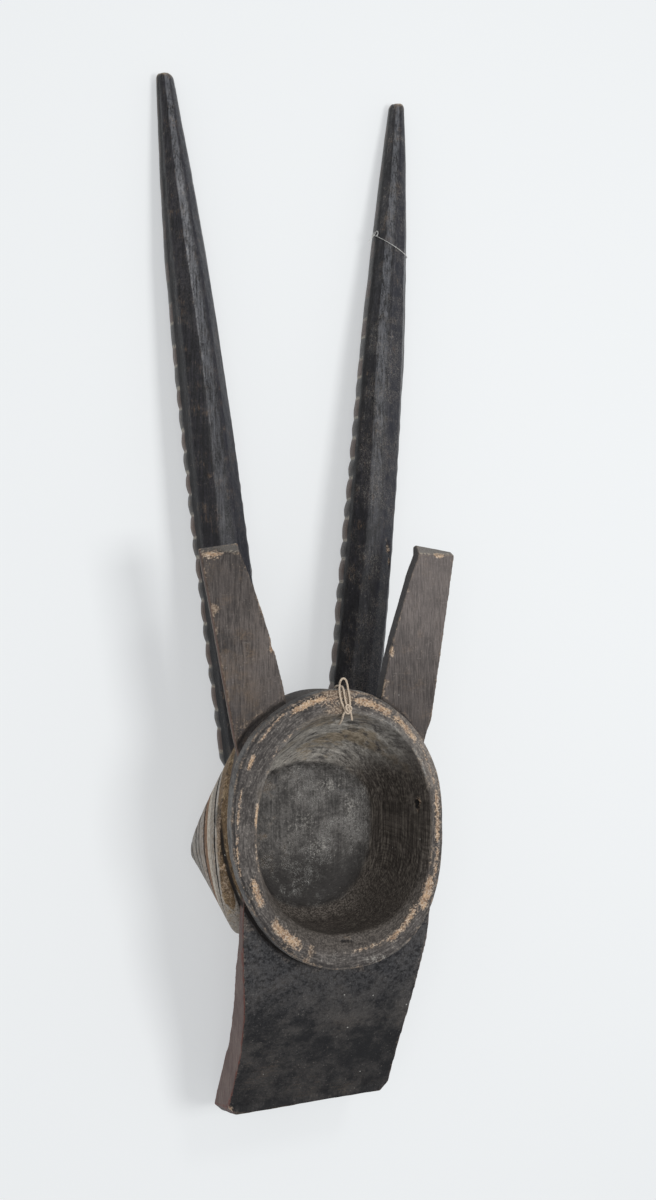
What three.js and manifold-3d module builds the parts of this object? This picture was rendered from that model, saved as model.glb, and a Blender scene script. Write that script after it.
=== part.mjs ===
// An antelope mask carved from one log, with the cotton cord it hangs by.
// Millimetres, +Z up. The mask lies face down on the end of its snout and on
// the tips of its horns: +Y runs from the snout to the horn tips, and the
// hollow for the wearer's face opens upwards.
import * as THREE from 'three';
import { mergeVertices } from 'three/addons/utils/BufferGeometryUtils.js';
import Module from 'manifold-3d';

const wasm = await Module();
wasm.setup();

// Depths are measured down from the flat back of the rim, the other distances
// from the rim's centre. What would reach below the resting plane is cut off.
const RIM_HEIGHT = 192;
const SURFACE_CUT = { width: 800, length: 1600, thickness: 40 };

// Rim and head: oval rings with their own reach to the top and to the bottom.
const RIM_HALF_WIDTH = 111;
const RIM_TOP = 140;
const RIM_BOTTOM = 142;
const RIM_COLLAR = 15;
const OVAL_POWER = 2.15;
const OVAL_POWER_LOW_RIGHT = 2.5;
const OVAL_STEPS = 40;
const HEAD = [
  { depth: 0, half: RIM_HALF_WIDTH, top: RIM_TOP, bottom: RIM_BOTTOM },
  { depth: RIM_COLLAR, half: RIM_HALF_WIDTH + 1, top: RIM_TOP + 1, bottom: RIM_BOTTOM + 2 },
  { depth: RIM_COLLAR + 3, half: RIM_HALF_WIDTH - 4, top: RIM_TOP - 4, bottom: RIM_BOTTOM - 2 },
  { depth: 62, half: 105, top: 138, bottom: 146 },
  { depth: 110, half: 88, top: 130, bottom: 138 },
  { depth: 150, half: 60, top: 108, bottom: 118 },
  { depth: 174, half: 28, top: 78, bottom: 90 },
];

// Hollow for the wearer's face, a little right of the middle: a bevelled
// mouth, a long gentle slope above the brow and a steep lower wall.
const HOLLOW = [
  { depth: -4, half: 94, top: 117, bottom: 122, shift: 6 },
  { depth: 0, half: 93, top: 116, bottom: 120, shift: 6 },
  { depth: 12, half: 90, top: 110, bottom: 106, shift: 6 },
  { depth: 45, half: 85, top: 94, bottom: 110, shift: 5 },
  { depth: 80, half: 79, top: 76, bottom: 109, shift: 3 },
  { depth: 100, half: 72, top: 58, bottom: 100, shift: 1 },
  { depth: 108, half: 60, top: 44, bottom: 86, shift: 1 },
];

// Muzzle: a flat back that runs forward from under the rim, upright cheeks,
// then the narrower nose with its ridge. Its end is cut slanting.
const SNOUT_END = -304.5;
const SNOUT_SKEW = 0.036;
const SNOUT_LEAN = 0.26;
const SNOUT_CHAMFER = 9;
const RIDGE_HALF = 15;
const RIDGE_SLOPE = 16;
const CHEEK_STEP = { across: 6, upper: 7, lower: 16 };
const MUZZLE = [
  { along: -50, left: 90, right: 103, back: 24, cheek: 46, nose: 48, front: 187 },
  { along: -90, left: 97, right: 106, back: 18, cheek: 32, nose: 50, front: 188 },
  { along: -118, left: 96, right: 104, back: 21, cheek: 39, nose: 52, front: 188 },
  { along: -144, left: 94, right: 100, back: 26, cheek: 54, nose: 54, front: 189 },
  { along: -187, left: 89, right: 95, back: 40, cheek: 79, nose: 56, front: 190 },
  { along: -235, left: 86, right: 92, back: 64, cheek: 109, nose: 57, front: 192 },
  { along: SNOUT_END, left: 90, right: 90, back: 94, cheek: 152, nose: 57, front: 192 },
];

// Mouth: a notch across the end of the snout that narrows at its corners.
const MOUTH_DEPTH = 158;
const MOUTH_BEYOND = 60;
const MOUTH = [
  { across: -74, opening: 13, reach: -6 },
  { across: -44.4, opening: 20, reach: 8 },
  { across: 44.4, opening: 20, reach: 8 },
  { across: 74, opening: 13, reach: -6 },
];

// Brow ridge between the eyes, rising from the forehead into the nose.
const BROW_ROOT_DEPTH = 120;
const BROW_FOOT = 28;
const BROW_SHOULDER = 10;
const BROW_CREST = RIDGE_HALF - 3;
const BROW = [
  { along: 112, front: 150, base: 34 },
  { along: 86, front: 172, base: 40 },
  { along: 40, front: 182, base: 44 },
  { along: -70, front: 188, base: 50 },
];

// Eye bosses: blunt oval cones of concentric rings on both cheeks.
const EYE_ACROSS = 68;
const EYE_LEVEL = -17;
const EYE_DEPTH = 108;
const EYE_TURN = THREE.MathUtils.degToRad(31);
const EYE_HALF_LENGTH = 104;
const EYE_HALF_WIDTH = 90;
const EYE_HEIGHT = 57;
const EYE_BULGE = 1.2;
const EYE_BULGE_BELOW = 0.9;
const EYE_EDGE = { share: 0.985, height: 3 };
const EYE_PUPIL = 0.085;
const EYE_PUPIL_DROP = 18;
const EYE_RINGS = [0.86, 0.605, 0.465, 0.36];
const EYE_RING_DROP = 0.1;
const EYE_GROOVE = 3.5;
const EYE_GROOVE_HALF = 0.022;
const EYE_ROOT = [[0.7, -52], [0.97, -22], [1, -6]];
const EYE_STEPS = 26;

// Ears: flat planks leaning outwards, bevelled on top.
const EAR_TOP = 284;
const EAR_THICKNESS = 21;
const EAR_SLANT = 4;
const EAR_DRAFT = 2;
const EAR_BEVEL = { cut: 8, rise: 3 };
const EAR = [
  { along: 30, inner: 30, outer: 84, depth: 26 },
  { along: 92, inner: 46, outer: 104, depth: 18 },
  { along: 139, inner: 53, outer: 112.5, depth: 19 },
  { along: EAR_TOP - 30, inner: 87, outer: 133, depth: 25 },
  { along: EAR_TOP - 7, inner: 97, outer: 137, depth: 26.5 },
];

// Horns: root low on the forehead, tip far above, ribbed in front.
const HORN_ROOT = { across: 57.6, level: 60, depth: 130.4 };
const HORN_TIP = { across: 137, level: 802, depth: 182 };
const HORN_BOW = { across: 3.4, depth: -4.6 };
const HORN_BURIED = { below: 35, shrink: 12, lift: 24 };
const HORN_WIDTH = 59;
const HORN_TIP_WIDTH = 18;
const HORN_TAPER_FROM = 200;
const HORN_EXTRA_DEPTH = 4;
const HORN_UNEVEN = 0.03;
const HORN_TIP_BEVEL = { along: 6, inset: 1.8 };
const HORN_SMOOTH_RINGS = 4;
const RIB_PITCH = 22.8;
const RIB_FIRST = 92;
const RIB_COUNT = 22;
const RIB_DEPTH = 5;
const RIB_LIP = 3.648;
const RIB_FADE_FROM = 430;
const RIB_FADE_TO = 600;

// Angles round a horn, from the middle of its smooth back to its ribbed front.
const RIB_START_ANGLE = 60;
const HORN_ANGLES = [0, 26, 50, RIB_START_ANGLE, 90, 120, 150, 180, 210, 240, 270, 300, 310, 334];

// Hole for the cord through the top of the rim.
const HOLE_DIAMETER = 6;
const HOLE_SIDES = 12;
const HOLE_INSIDE = [3.5, 103, 14];
const HOLE_OUTSIDE = [2.5, 136, 27];

// The cord comes out of the hole, is knotted on the rim, stands out over the
// edge as a loop, and goes back over the edge into the outer end of the hole.
const CORD_DIAMETER = 2.2;
const CORD_SIDES = 8;
const CORD_STEP = 3.2;
const FROM_HOLE = [
  [3.3, 105, 13], [2.6, 107.5, 7.5], [2.1, 111.5, 1.5], [1.8, 115, -1.4], [3.4, 119, -2.6],
];
const LOOP = [
  [3, 121, -2.6], [0.4, 127, -1.6], [-1.6, 134, -1.5], [-2.3, 141.5, -1.5], [-1.3, 148.2, -1.2],
  [1.2, 151.4, -1], [4.2, 150.6, -1], [6, 146.5, -1.2], [7.2, 139.5, -1.5], [8.7, 131.5, -1.5],
  [8.6, 123.5, -2.6],
];
const OVER_RIM = [
  [5.4, 123, -2.6], [4.2, 129, -1.6], [2.8, 136, -1.5], [2.2, 140.2, -1.3], [2, 143, 1.6],
  [2, 143.4, 8], [2, 143.2, 15], [2.1, 142.4, 20], [2.3, 139.4, 25.4], [2.5, 135.2, 26.7],
];
const KNOT = [6.2, 121, -3.7];
const KNOT_RADII = [5, 5.6, 3.3];
const KNOT_STEPS = { round: 12, along: 8 };
const CORD_TO_KNOT = 0.4;

// Thread tied round the right horn, lying aslant over its back.
const THREAD_DIAMETER = 0.8;
const THREAD_SIDES = 6;
const THREAD_GAP = 0.5;
const THREAD_LEVEL = 633;
const THREAD_SWING = 5.6;

const wood = new THREE.MeshStandardMaterial({ color: 0x46403b, roughness: 0.72, metalness: 0 });
const cotton = new THREE.MeshStandardMaterial({ color: 0xd3c3a9, roughness: 0.9, metalness: 0 });
const thread = new THREE.MeshStandardMaterial({ color: 0xd8d4cb, roughness: 0.85, metalness: 0 });

function at(across, along, depth) {
  return new THREE.Vector3(across, along, RIM_HEIGHT - depth);
}

function signedVolume(points, faces) {
  let sum = 0;
  for (const [a, b, c] of faces) {
    sum += points[a].dot(new THREE.Vector3().crossVectors(points[b], points[c]));
  }
  return sum / 6;
}

// A fan of triangles over one ring, round a new point in its middle.
function fan(points, start, count) {
  const middle = new THREE.Vector3();
  for (let k = 0; k < count; k += 1) middle.add(points[start + k]);
  points.push(middle.divideScalar(count));
  const faces = [];
  for (let k = 0; k < count; k += 1) {
    faces.push([points.length - 1, start + k, start + ((k + 1) % count)]);
  }
  return faces;
}

// A closed skin over rings of equal length. Open ends get a fan, and a skin
// whose last ring joins its first has none.
function skin(rings, joined = false) {
  const count = rings[0].length;
  const points = rings.flat();
  const faces = [];
  const spans = joined ? rings.length : rings.length - 1;
  for (let r = 0; r < spans; r += 1) {
    const next = (r + 1) % rings.length;
    for (let k = 0; k < count; k += 1) {
      const k2 = (k + 1) % count;
      const a = r * count + k;
      const b = r * count + k2;
      const c = next * count + k2;
      const d = next * count + k;
      faces.push([a, b, c], [a, c, d]);
    }
  }
  if (!joined) {
    faces.push(...fan(points, 0, count).map((face) => face.reverse()));
    faces.push(...fan(points, (rings.length - 1) * count, count));
  }
  if (signedVolume(points, faces) < 0) faces.forEach((face) => face.reverse());
  const geometry = new THREE.BufferGeometry();
  const places = points.flatMap((point) => point.toArray());
  geometry.setAttribute('position', new THREE.Float32BufferAttribute(places, 3));
  geometry.setIndex(faces.flat());
  return geometry;
}

function solid(geometry) {
  const bare = geometry.clone();
  bare.deleteAttribute('normal');
  bare.deleteAttribute('uv');
  const merged = mergeVertices(bare, 1e-4);
  return new wasm.Manifold(new wasm.Mesh({
    numProp: 3,
    vertProperties: new Float32Array(merged.attributes.position.array),
    triVerts: new Uint32Array(merged.index.array),
  }));
}

function geometryOf(manifold) {
  const mesh = manifold.getMesh();
  const geometry = new THREE.BufferGeometry();
  geometry.setAttribute('position', new THREE.BufferAttribute(mesh.vertProperties, 3));
  geometry.setIndex(new THREE.BufferAttribute(mesh.triVerts, 1));
  geometry.computeVertexNormals();
  return geometry;
}

function ovalRing({ depth, half, top, bottom, shift = 0 }) {
  const ring = [];
  for (let k = 0; k < OVAL_STEPS; k += 1) {
    const angle = (2 * Math.PI * k) / OVAL_STEPS;
    const c = Math.cos(angle);
    const s = Math.sin(angle);
    const power = 2 / (c > 0 && s < 0 ? OVAL_POWER_LOW_RIGHT : OVAL_POWER);
    const x = half * Math.sign(c) * Math.abs(c) ** power;
    const y = (s > 0 ? top : bottom) * Math.sign(s) * Math.abs(s) ** power;
    ring.push(at(shift + x, y, depth));
  }
  return ring;
}

function muzzleSection({ along, left, right, back, cheek, nose, front }, inset = 0) {
  const side = (half) => [
    [half - inset, back],
    [half - inset, cheek],
    [nose + CHEEK_STEP.across, cheek + CHEEK_STEP.upper],
    [nose, cheek + CHEEK_STEP.lower],
    [RIDGE_HALF + RIDGE_SLOPE, front - RIDGE_SLOPE],
    [RIDGE_HALF, front],
  ];
  const outline = [...side(right), ...side(left).map(([x, d]) => [-x, d]).reverse()];
  const slant = (x, d) => (along === SNOUT_END ? SNOUT_SKEW * x - SNOUT_LEAN * (d - back) : 0);
  return outline.map(([x, d]) => at(x, along + slant(x, d), d));
}

function muzzle() {
  const end = MUZZLE[MUZZLE.length - 1];
  const shoulder = muzzleSection(end).map((p) => p.add(new THREE.Vector3(0, SNOUT_CHAMFER, 0)));
  const sections = MUZZLE.slice(0, -1).map((station) => muzzleSection(station));
  return solid(skin([...sections, shoulder, muzzleSection(end, SNOUT_CHAMFER)]));
}

function mouth() {
  return solid(skin(MOUTH.map(({ across, opening, reach }) => [
    at(across, SNOUT_END - MOUTH_BEYOND, MOUTH_DEPTH - opening),
    at(across, SNOUT_END - MOUTH_BEYOND, MOUTH_DEPTH + opening),
    at(across, SNOUT_END + reach, MOUTH_DEPTH),
  ])));
}

function browRidge() {
  return solid(skin(BROW.map(({ along, front, base }) => {
    const half = [
      [base, BROW_ROOT_DEPTH],
      [base, front - BROW_FOOT],
      [RIDGE_HALF + BROW_SHOULDER, front - BROW_SHOULDER],
      [BROW_CREST, front],
    ];
    return [...half.map(([x, d]) => at(-x, along, d)), ...half.reverse().map(([x, d]) => at(x, along, d))];
  })));
}

// Height of an eye boss over its base, before its grooves are cut. It rises more
// leanly below the pupil than above it.
function eyeSlope(share, angle) {
  const rise = (EYE_EDGE.share - share) / (EYE_EDGE.share - EYE_PUPIL);
  const bulge = EYE_BULGE + (EYE_BULGE - EYE_BULGE_BELOW) * Math.min(Math.sin(angle), 0);
  return EYE_EDGE.height + (EYE_HEIGHT - EYE_EDGE.height) * (1 - (1 - rise) ** bulge);
}

// Share of the radius and height over the base along one side of an eye boss, from
// the buried root over the grooves, which hang lower than its outline, to the pupil.
function eyeProfile(angle) {
  const points = [...EYE_ROOT, [EYE_EDGE.share, EYE_EDGE.height]];
  for (const ring of EYE_RINGS) {
    const middle = ring - EYE_RING_DROP * Math.sin(angle);
    for (const [off, cut] of [[EYE_GROOVE_HALF, 0], [0, EYE_GROOVE], [-EYE_GROOVE_HALF, 0]]) {
      points.push([middle + off, eyeSlope(middle + off, angle) - cut]);
    }
  }
  points.push([EYE_PUPIL, EYE_HEIGHT]);
  return points;
}

function eyeBoss(side) {
  const outwards = new THREE.Vector3(side * Math.cos(EYE_TURN), 0, -Math.sin(EYE_TURN));
  const rearwards = new THREE.Vector3(side * Math.sin(EYE_TURN), 0, Math.cos(EYE_TURN));
  const centre = at(side * EYE_ACROSS, EYE_LEVEL, EYE_DEPTH);
  const angles = Array.from({ length: EYE_STEPS }, (_, k) => (2 * Math.PI * k) / EYE_STEPS);
  const sides = angles.map((angle) => eyeProfile(angle).map(([share, height]) => {
    const point = centre.clone().addScaledVector(outwards, height);
    point.addScaledVector(rearwards, EYE_HALF_WIDTH * share * Math.cos(angle));
    point.y -= (EYE_PUPIL_DROP * Math.max(height, 0)) / EYE_HEIGHT;
    point.y += EYE_HALF_LENGTH * share * Math.sin(angle);
    return point;
  }));
  return solid(skin(sides[0].map((_, row) => sides.map((points) => points[row]))));
}

function ear(side) {
  const section = ({ along, inner, outer, depth }, { cut, rise } = { cut: 0, rise: 0 }) => [
    at(side * inner, along + rise, depth + cut),
    at(side * outer, along - rise, depth + cut + EAR_SLANT),
    at(side * (outer - EAR_DRAFT), along - rise, depth + EAR_THICKNESS),
    at(side * (inner + EAR_DRAFT), along + rise, depth + EAR_THICKNESS),
  ];
  const top = { ...EAR[EAR.length - 1], along: EAR_TOP };
  return solid(skin([...EAR.map((station) => section(station)), section(top, EAR_BEVEL)]));
}

// Centre line, width and depth of a horn at a level above the rim centre.
function hornAt(level) {
  const t = (level - HORN_ROOT.level) / (HORN_TIP.level - HORN_ROOT.level);
  const bow = 4 * t * (1 - t);
  const taper = Math.max(0, level - HORN_TAPER_FROM) / (HORN_TIP.level - HORN_TAPER_FROM);
  const width = HORN_WIDTH - (HORN_WIDTH - HORN_TIP_WIDTH) * taper ** 2;
  return {
    across: THREE.MathUtils.lerp(HORN_ROOT.across, HORN_TIP.across, t) + HORN_BOW.across * bow,
    depth: THREE.MathUtils.lerp(HORN_ROOT.depth, HORN_TIP.depth, t) + HORN_BOW.depth * bow,
    width,
    thick: width + HORN_EXTRA_DEPTH,
  };
}

function hornRing(side, level, notch = 0, swell = 0) {
  const { across, depth, width, thick } = hornAt(level);
  const uneven = 1 - side * HORN_UNEVEN;
  return HORN_ANGLES.map((degrees) => {
    const angle = THREE.MathUtils.degToRad(degrees);
    const ribbed = degrees > RIB_START_ANGLE && degrees < 360 - RIB_START_ANGLE;
    const inset = ribbed ? notch : 0;
    const x = ((width * uneven) / 2 - inset + swell) * Math.sin(angle);
    const d = (thick / 2 - inset + swell) * Math.cos(angle);
    return at(side * (across + x), level, depth - d);
  });
}

function horn(side) {
  const raised = new THREE.Vector3(0, 0, HORN_BURIED.lift);
  const buried = hornRing(side, HORN_ROOT.level - HORN_BURIED.below, 0, -HORN_BURIED.shrink);
  const rings = [buried.map((point) => point.add(raised)), hornRing(side, HORN_ROOT.level)];
  for (let i = 0; i < RIB_COUNT; i += 1) {
    const level = RIB_FIRST + RIB_PITCH * i;
    const fade = THREE.MathUtils.clamp((RIB_FADE_TO - level) / (RIB_FADE_TO - RIB_FADE_FROM), 0, 1);
    rings.push(hornRing(side, level - RIB_LIP));
    rings.push(hornRing(side, level, RIB_DEPTH * fade));
    rings.push(hornRing(side, level + RIB_LIP));
  }
  const from = RIB_FIRST + RIB_PITCH * RIB_COUNT;
  const to = HORN_TIP.level - HORN_TIP_BEVEL.along;
  for (let i = 0; i < HORN_SMOOTH_RINGS; i += 1) {
    rings.push(hornRing(side, THREE.MathUtils.lerp(from, to, i / (HORN_SMOOTH_RINGS - 1))));
  }
  rings.push(hornRing(side, HORN_TIP.level, HORN_TIP_BEVEL.inset));
  return solid(skin(rings));
}

// The hole is half as long again at each end as the wood it goes through.
function cordHole() {
  const inside = at(...HOLE_INSIDE);
  const outside = at(...HOLE_OUTSIDE);
  const run = outside.clone().sub(inside);
  const radius = HOLE_DIAMETER / 2;
  const geometry = new THREE.CylinderGeometry(radius, radius, 2 * run.length(), HOLE_SIDES);
  const upright = new THREE.Vector3(0, 1, 0);
  const turn = new THREE.Quaternion().setFromUnitVectors(upright, run.normalize());
  const middle = inside.add(outside).divideScalar(2);
  geometry.applyMatrix4(new THREE.Matrix4().compose(middle, turn, new THREE.Vector3(1, 1, 1)));
  return solid(geometry);
}

function carving() {
  let block = solid(skin(HEAD.map((ring) => ovalRing(ring))));
  for (const piece of [muzzle(), browRidge(), ear(-1), ear(1), horn(-1), horn(1), eyeBoss(-1), eyeBoss(1)]) {
    block = block.add(piece);
  }
  const { width, length, thickness } = SURFACE_CUT;
  const below = new THREE.BoxGeometry(width, length, thickness);
  below.translate(0, (HORN_TIP.level + SNOUT_END) / 2, -thickness / 2);
  const cuts = [solid(skin(HOLLOW.map((ring) => ovalRing(ring)))), mouth(), cordHole(), solid(below)];
  for (const cut of cuts) block = block.subtract(cut);
  return block;
}

// A round cord along hand-laid points.
function tube(points) {
  const path = new THREE.CatmullRomCurve3(points, false, 'centripetal');
  const outline = [];
  for (let k = 0; k < CORD_SIDES; k += 1) {
    const angle = (2 * Math.PI * k) / CORD_SIDES;
    const radius = CORD_DIAMETER / 2;
    outline.push(new THREE.Vector2(radius * Math.cos(angle), radius * Math.sin(angle)));
  }
  const steps = Math.max(3, Math.round(path.getLength() / CORD_STEP));
  const options = { steps, extrudePath: path, bevelEnabled: false };
  return solid(new THREE.ExtrudeGeometry(new THREE.Shape(outline), options));
}

function knotBody(grown = 0) {
  const body = new THREE.SphereGeometry(1, KNOT_STEPS.round, KNOT_STEPS.along);
  body.scale(...KNOT_RADII.map((radius) => radius + grown));
  const middle = at(...KNOT);
  body.translate(middle.x, middle.y, middle.z);
  return solid(body);
}

function cordRun(points) {
  return tube(points.map((place) => at(...place))).subtract(knotBody(CORD_TO_KNOT));
}

function threadRing() {
  const radius = THREAD_DIAMETER / 2;
  const reach = THREAD_GAP + radius;
  return solid(skin(HORN_ANGLES.map((degrees) => {
    const angle = THREE.MathUtils.degToRad(degrees);
    const level = THREAD_LEVEL - THREAD_SWING * Math.sin(angle);
    const { across, depth, width, thick } = hornAt(level);
    const outwards = new THREE.Vector3(Math.sin(angle), 0, Math.cos(angle));
    const x = ((width * (1 - HORN_UNEVEN)) / 2 + reach) * outwards.x;
    const d = (thick / 2 + reach) * outwards.z;
    const middle = at(across + x, level, depth - d);
    const section = [];
    for (let k = 0; k < THREAD_SIDES; k += 1) {
      const turn = (2 * Math.PI * k) / THREAD_SIDES;
      const point = middle.clone().addScaledVector(outwards, radius * Math.cos(turn));
      point.y += radius * Math.sin(turn);
      section.push(point);
    }
    return section;
  }), true));
}

const antelopeMask = new THREE.Group();
antelopeMask.name = 'antelope_mask';

function addNode(name, manifold, material) {
  const mesh = new THREE.Mesh(geometryOf(manifold), material);
  mesh.name = name;
  antelopeMask.add(mesh);
  return mesh;
}

const mask = addNode('mask', carving(), wood);
addNode('horn_thread', threadRing(), thread);
addNode('cord_from_hole', cordRun(FROM_HOLE), cotton);
addNode('cord_loop', cordRun(LOOP), cotton);
addNode('cord_over_rim', cordRun(OVER_RIM), cotton);
addNode('cord_knot', knotBody(), cotton);

// The frame's origin is under the middle of the carving.
mask.geometry.computeBoundingBox();
const middle = mask.geometry.boundingBox.getCenter(new THREE.Vector3());
antelopeMask.position.set(-middle.x, -middle.y, 0);

export default antelopeMask;
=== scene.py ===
import math

import bpy
import numpy as np
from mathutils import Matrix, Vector


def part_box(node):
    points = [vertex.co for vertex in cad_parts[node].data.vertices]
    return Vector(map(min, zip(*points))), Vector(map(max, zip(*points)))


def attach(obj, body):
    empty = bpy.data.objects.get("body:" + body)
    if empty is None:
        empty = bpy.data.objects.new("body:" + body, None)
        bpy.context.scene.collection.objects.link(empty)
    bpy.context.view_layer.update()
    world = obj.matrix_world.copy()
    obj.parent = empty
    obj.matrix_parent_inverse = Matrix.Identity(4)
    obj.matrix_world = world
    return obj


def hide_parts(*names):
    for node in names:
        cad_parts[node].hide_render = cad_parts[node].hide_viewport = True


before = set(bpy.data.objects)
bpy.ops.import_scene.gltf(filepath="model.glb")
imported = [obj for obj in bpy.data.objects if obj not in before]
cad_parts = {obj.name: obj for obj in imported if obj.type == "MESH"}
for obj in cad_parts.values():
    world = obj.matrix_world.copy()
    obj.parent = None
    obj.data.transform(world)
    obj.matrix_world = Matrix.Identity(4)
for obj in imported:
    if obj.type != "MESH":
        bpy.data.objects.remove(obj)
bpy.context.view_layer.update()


# The view: the mask lies on its face, and the camera stands over the left ear and looks
# down on the hollow back. Places on the carving are in millimetres from the centre of
# the rim: across, along towards the horn tips, and depth down from the flat of the rim.
mask_low, mask_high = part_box("mask")
HORN_TIP_LEVEL = 802
RIM_OFF_MIDDLE = 0.000282
RIM_CENTRE = np.array((RIM_OFF_MIDDLE, mask_high.y - HORN_TIP_LEVEL / 1000, mask_high.z))
CAMERA_PLACE = (-491, 230, -1311.1)
CAMERA_TURN = math.radians(-20)
CAMERA_LENS = 42
CAMERA_SENSOR = 36


def place(points):
    """Places on the carving in metres, in the frame that all pieces share."""
    return RIM_CENTRE + np.asarray(points, float) * (0.001, 0.001, -0.001)


def put(name, data):
    """A new object in the scene."""
    obj = bpy.data.objects.new(name, data)
    bpy.context.collection.objects.link(obj)
    return obj


camera = put("camera", bpy.data.cameras.new("camera"))
camera.location = place(CAMERA_PLACE)
camera.rotation_euler = (0, CAMERA_TURN, 0)
camera.data.lens = CAMERA_LENS
camera.data.sensor_width = CAMERA_SENSOR
bpy.context.scene.camera = camera


# The studio: a seamless pale sweep and broad soft lamps, the strongest of them from
# the upper right, so that the shadows fall to the left.
SWEEP_SIZE = 9
SWEEP_GREY = (182, 184, 184)
LAMP_AIM = Vector((0, -0.1, 0.1))
LAMPS = [
    # name, place, width, power
    ("key", (0.75, 0.0, 2.5), 0.7, 26),
    ("fill", (-0.9, 0.1, 2.6), 1.2, 10),
    ("horn_light", (0.45, 1.35, 2.3), 0.45, 7),
]


def srgb(red, green, blue):
    """A colour as it is seen, from 0 to 255, as the shader wants it."""
    shown = np.array((red, green, blue)) / 255
    return (*np.where(shown < 0.04045, shown / 12.92, ((shown + 0.055) / 1.055) ** 2.4), 1.0)


def new_material(name, plain_values):
    """A material and its shader, with what is the same all over set on the shader."""
    material = bpy.data.materials.new(name)
    material.use_nodes = True
    shader = material.node_tree.nodes["Principled BSDF"]
    for socket, value in plain_values.items():
        shader.inputs[socket].default_value = value
    return material, shader


sweep_mesh = bpy.data.meshes.new("sweep")
corners = [(x * SWEEP_SIZE / 2, y * SWEEP_SIZE / 2, 0) for x, y in ((-1, -1), (1, -1), (1, 1), (-1, 1))]
sweep_mesh.from_pydata(corners, [], [(0, 1, 2, 3)])
sweep = put("sweep", sweep_mesh)
sweep_paint, _ = new_material("pale_sweep", {
    "Base Color": srgb(*SWEEP_GREY), "Roughness": 0.9, "Specular IOR Level": 0.1,
    "Emission Color": (0.96, 0.98, 1, 1), "Emission Strength": 0.45,
})
sweep_mesh.materials.append(sweep_paint)

for name, spot, width, power in LAMPS:
    lamp = put(name, bpy.data.lights.new(name, "AREA"))
    lamp.data.energy = power
    lamp.data.size = width
    lamp.location = spot
    lamp.rotation_euler = (LAMP_AIM - Vector(spot)).to_track_quat("-Z", "Y").to_euler()
world = bpy.data.worlds.new("studio")
world.use_nodes = True
sky = world.node_tree.nodes["Background"].inputs
sky["Color"].default_value = (0.96, 0.975, 1, 1)
sky["Strength"].default_value = 0.4
bpy.context.scene.world = world
bpy.context.scene.view_settings.view_transform = "Standard"


# The hanging cord: thin beige cotton of three twisted strands. It comes out of the
# hole in the top of the rim, is knotted on the rim, stands out over the edge as a
# loop, and goes back over the edge into the outer end of the hole.
CORD_DIAMETER = 2.2
KNOT_CORD_DIAMETER = 2.0
CORD_PITCH = 6.5
CORD_ROUTE = [
    (3.3, 105, 13), (2.6, 107.5, 7.5), (2.1, 111.5, 1.5), (1.8, 115, -1.4), (3.4, 119, -2.6),
    (3, 121, -2.6), (0.4, 127, -1.6), (-1.6, 134, -1.5), (-2.3, 141.5, -1.5), (-1.3, 148.2, -1.2),
    (1.2, 151.4, -1), (4.2, 150.6, -1), (6, 146.5, -1.2), (7.2, 139.5, -1.5), (8.7, 131.5, -1.5),
    (8.6, 123.5, -2.6), (7.9, 119.6, -3.4), (5.9, 118.9, -3.6), (5.1, 120.6, -3), (5.4, 123, -2.6),
    (4.2, 129, -1.6), (2.8, 136, -1.5), (2.2, 140.2, -1.3), (2, 143, 1.6), (2, 143.4, 8),
    (2, 143.2, 15), (2.1, 142.4, 20), (2.3, 139.4, 25.4), (2.5, 135.2, 26.7),
]
CORD_STEP = 0.7
KNOT = np.array((6.2, 121, -3.7))
KNOT_STEPS = 72
KNOT_REACH = 2.1
KNOT_LIFT = -0.6
KNOT_SPREAD = (1.1, 1.5, -0.9)
KNOT_STEP = 0.6
CORD_TAIL = [
    (7.6, 119.8, -4.4), (9.2, 117.2, -3.4), (10.3, 114.2, -2), (11.1, 111.2, -1.4), (11.4, 109.4, -1.3),
]
ROUTE_SPAN_STEPS = 24
SECTION_SIDES = 18
STRAND_POWER = 0.7


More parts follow.
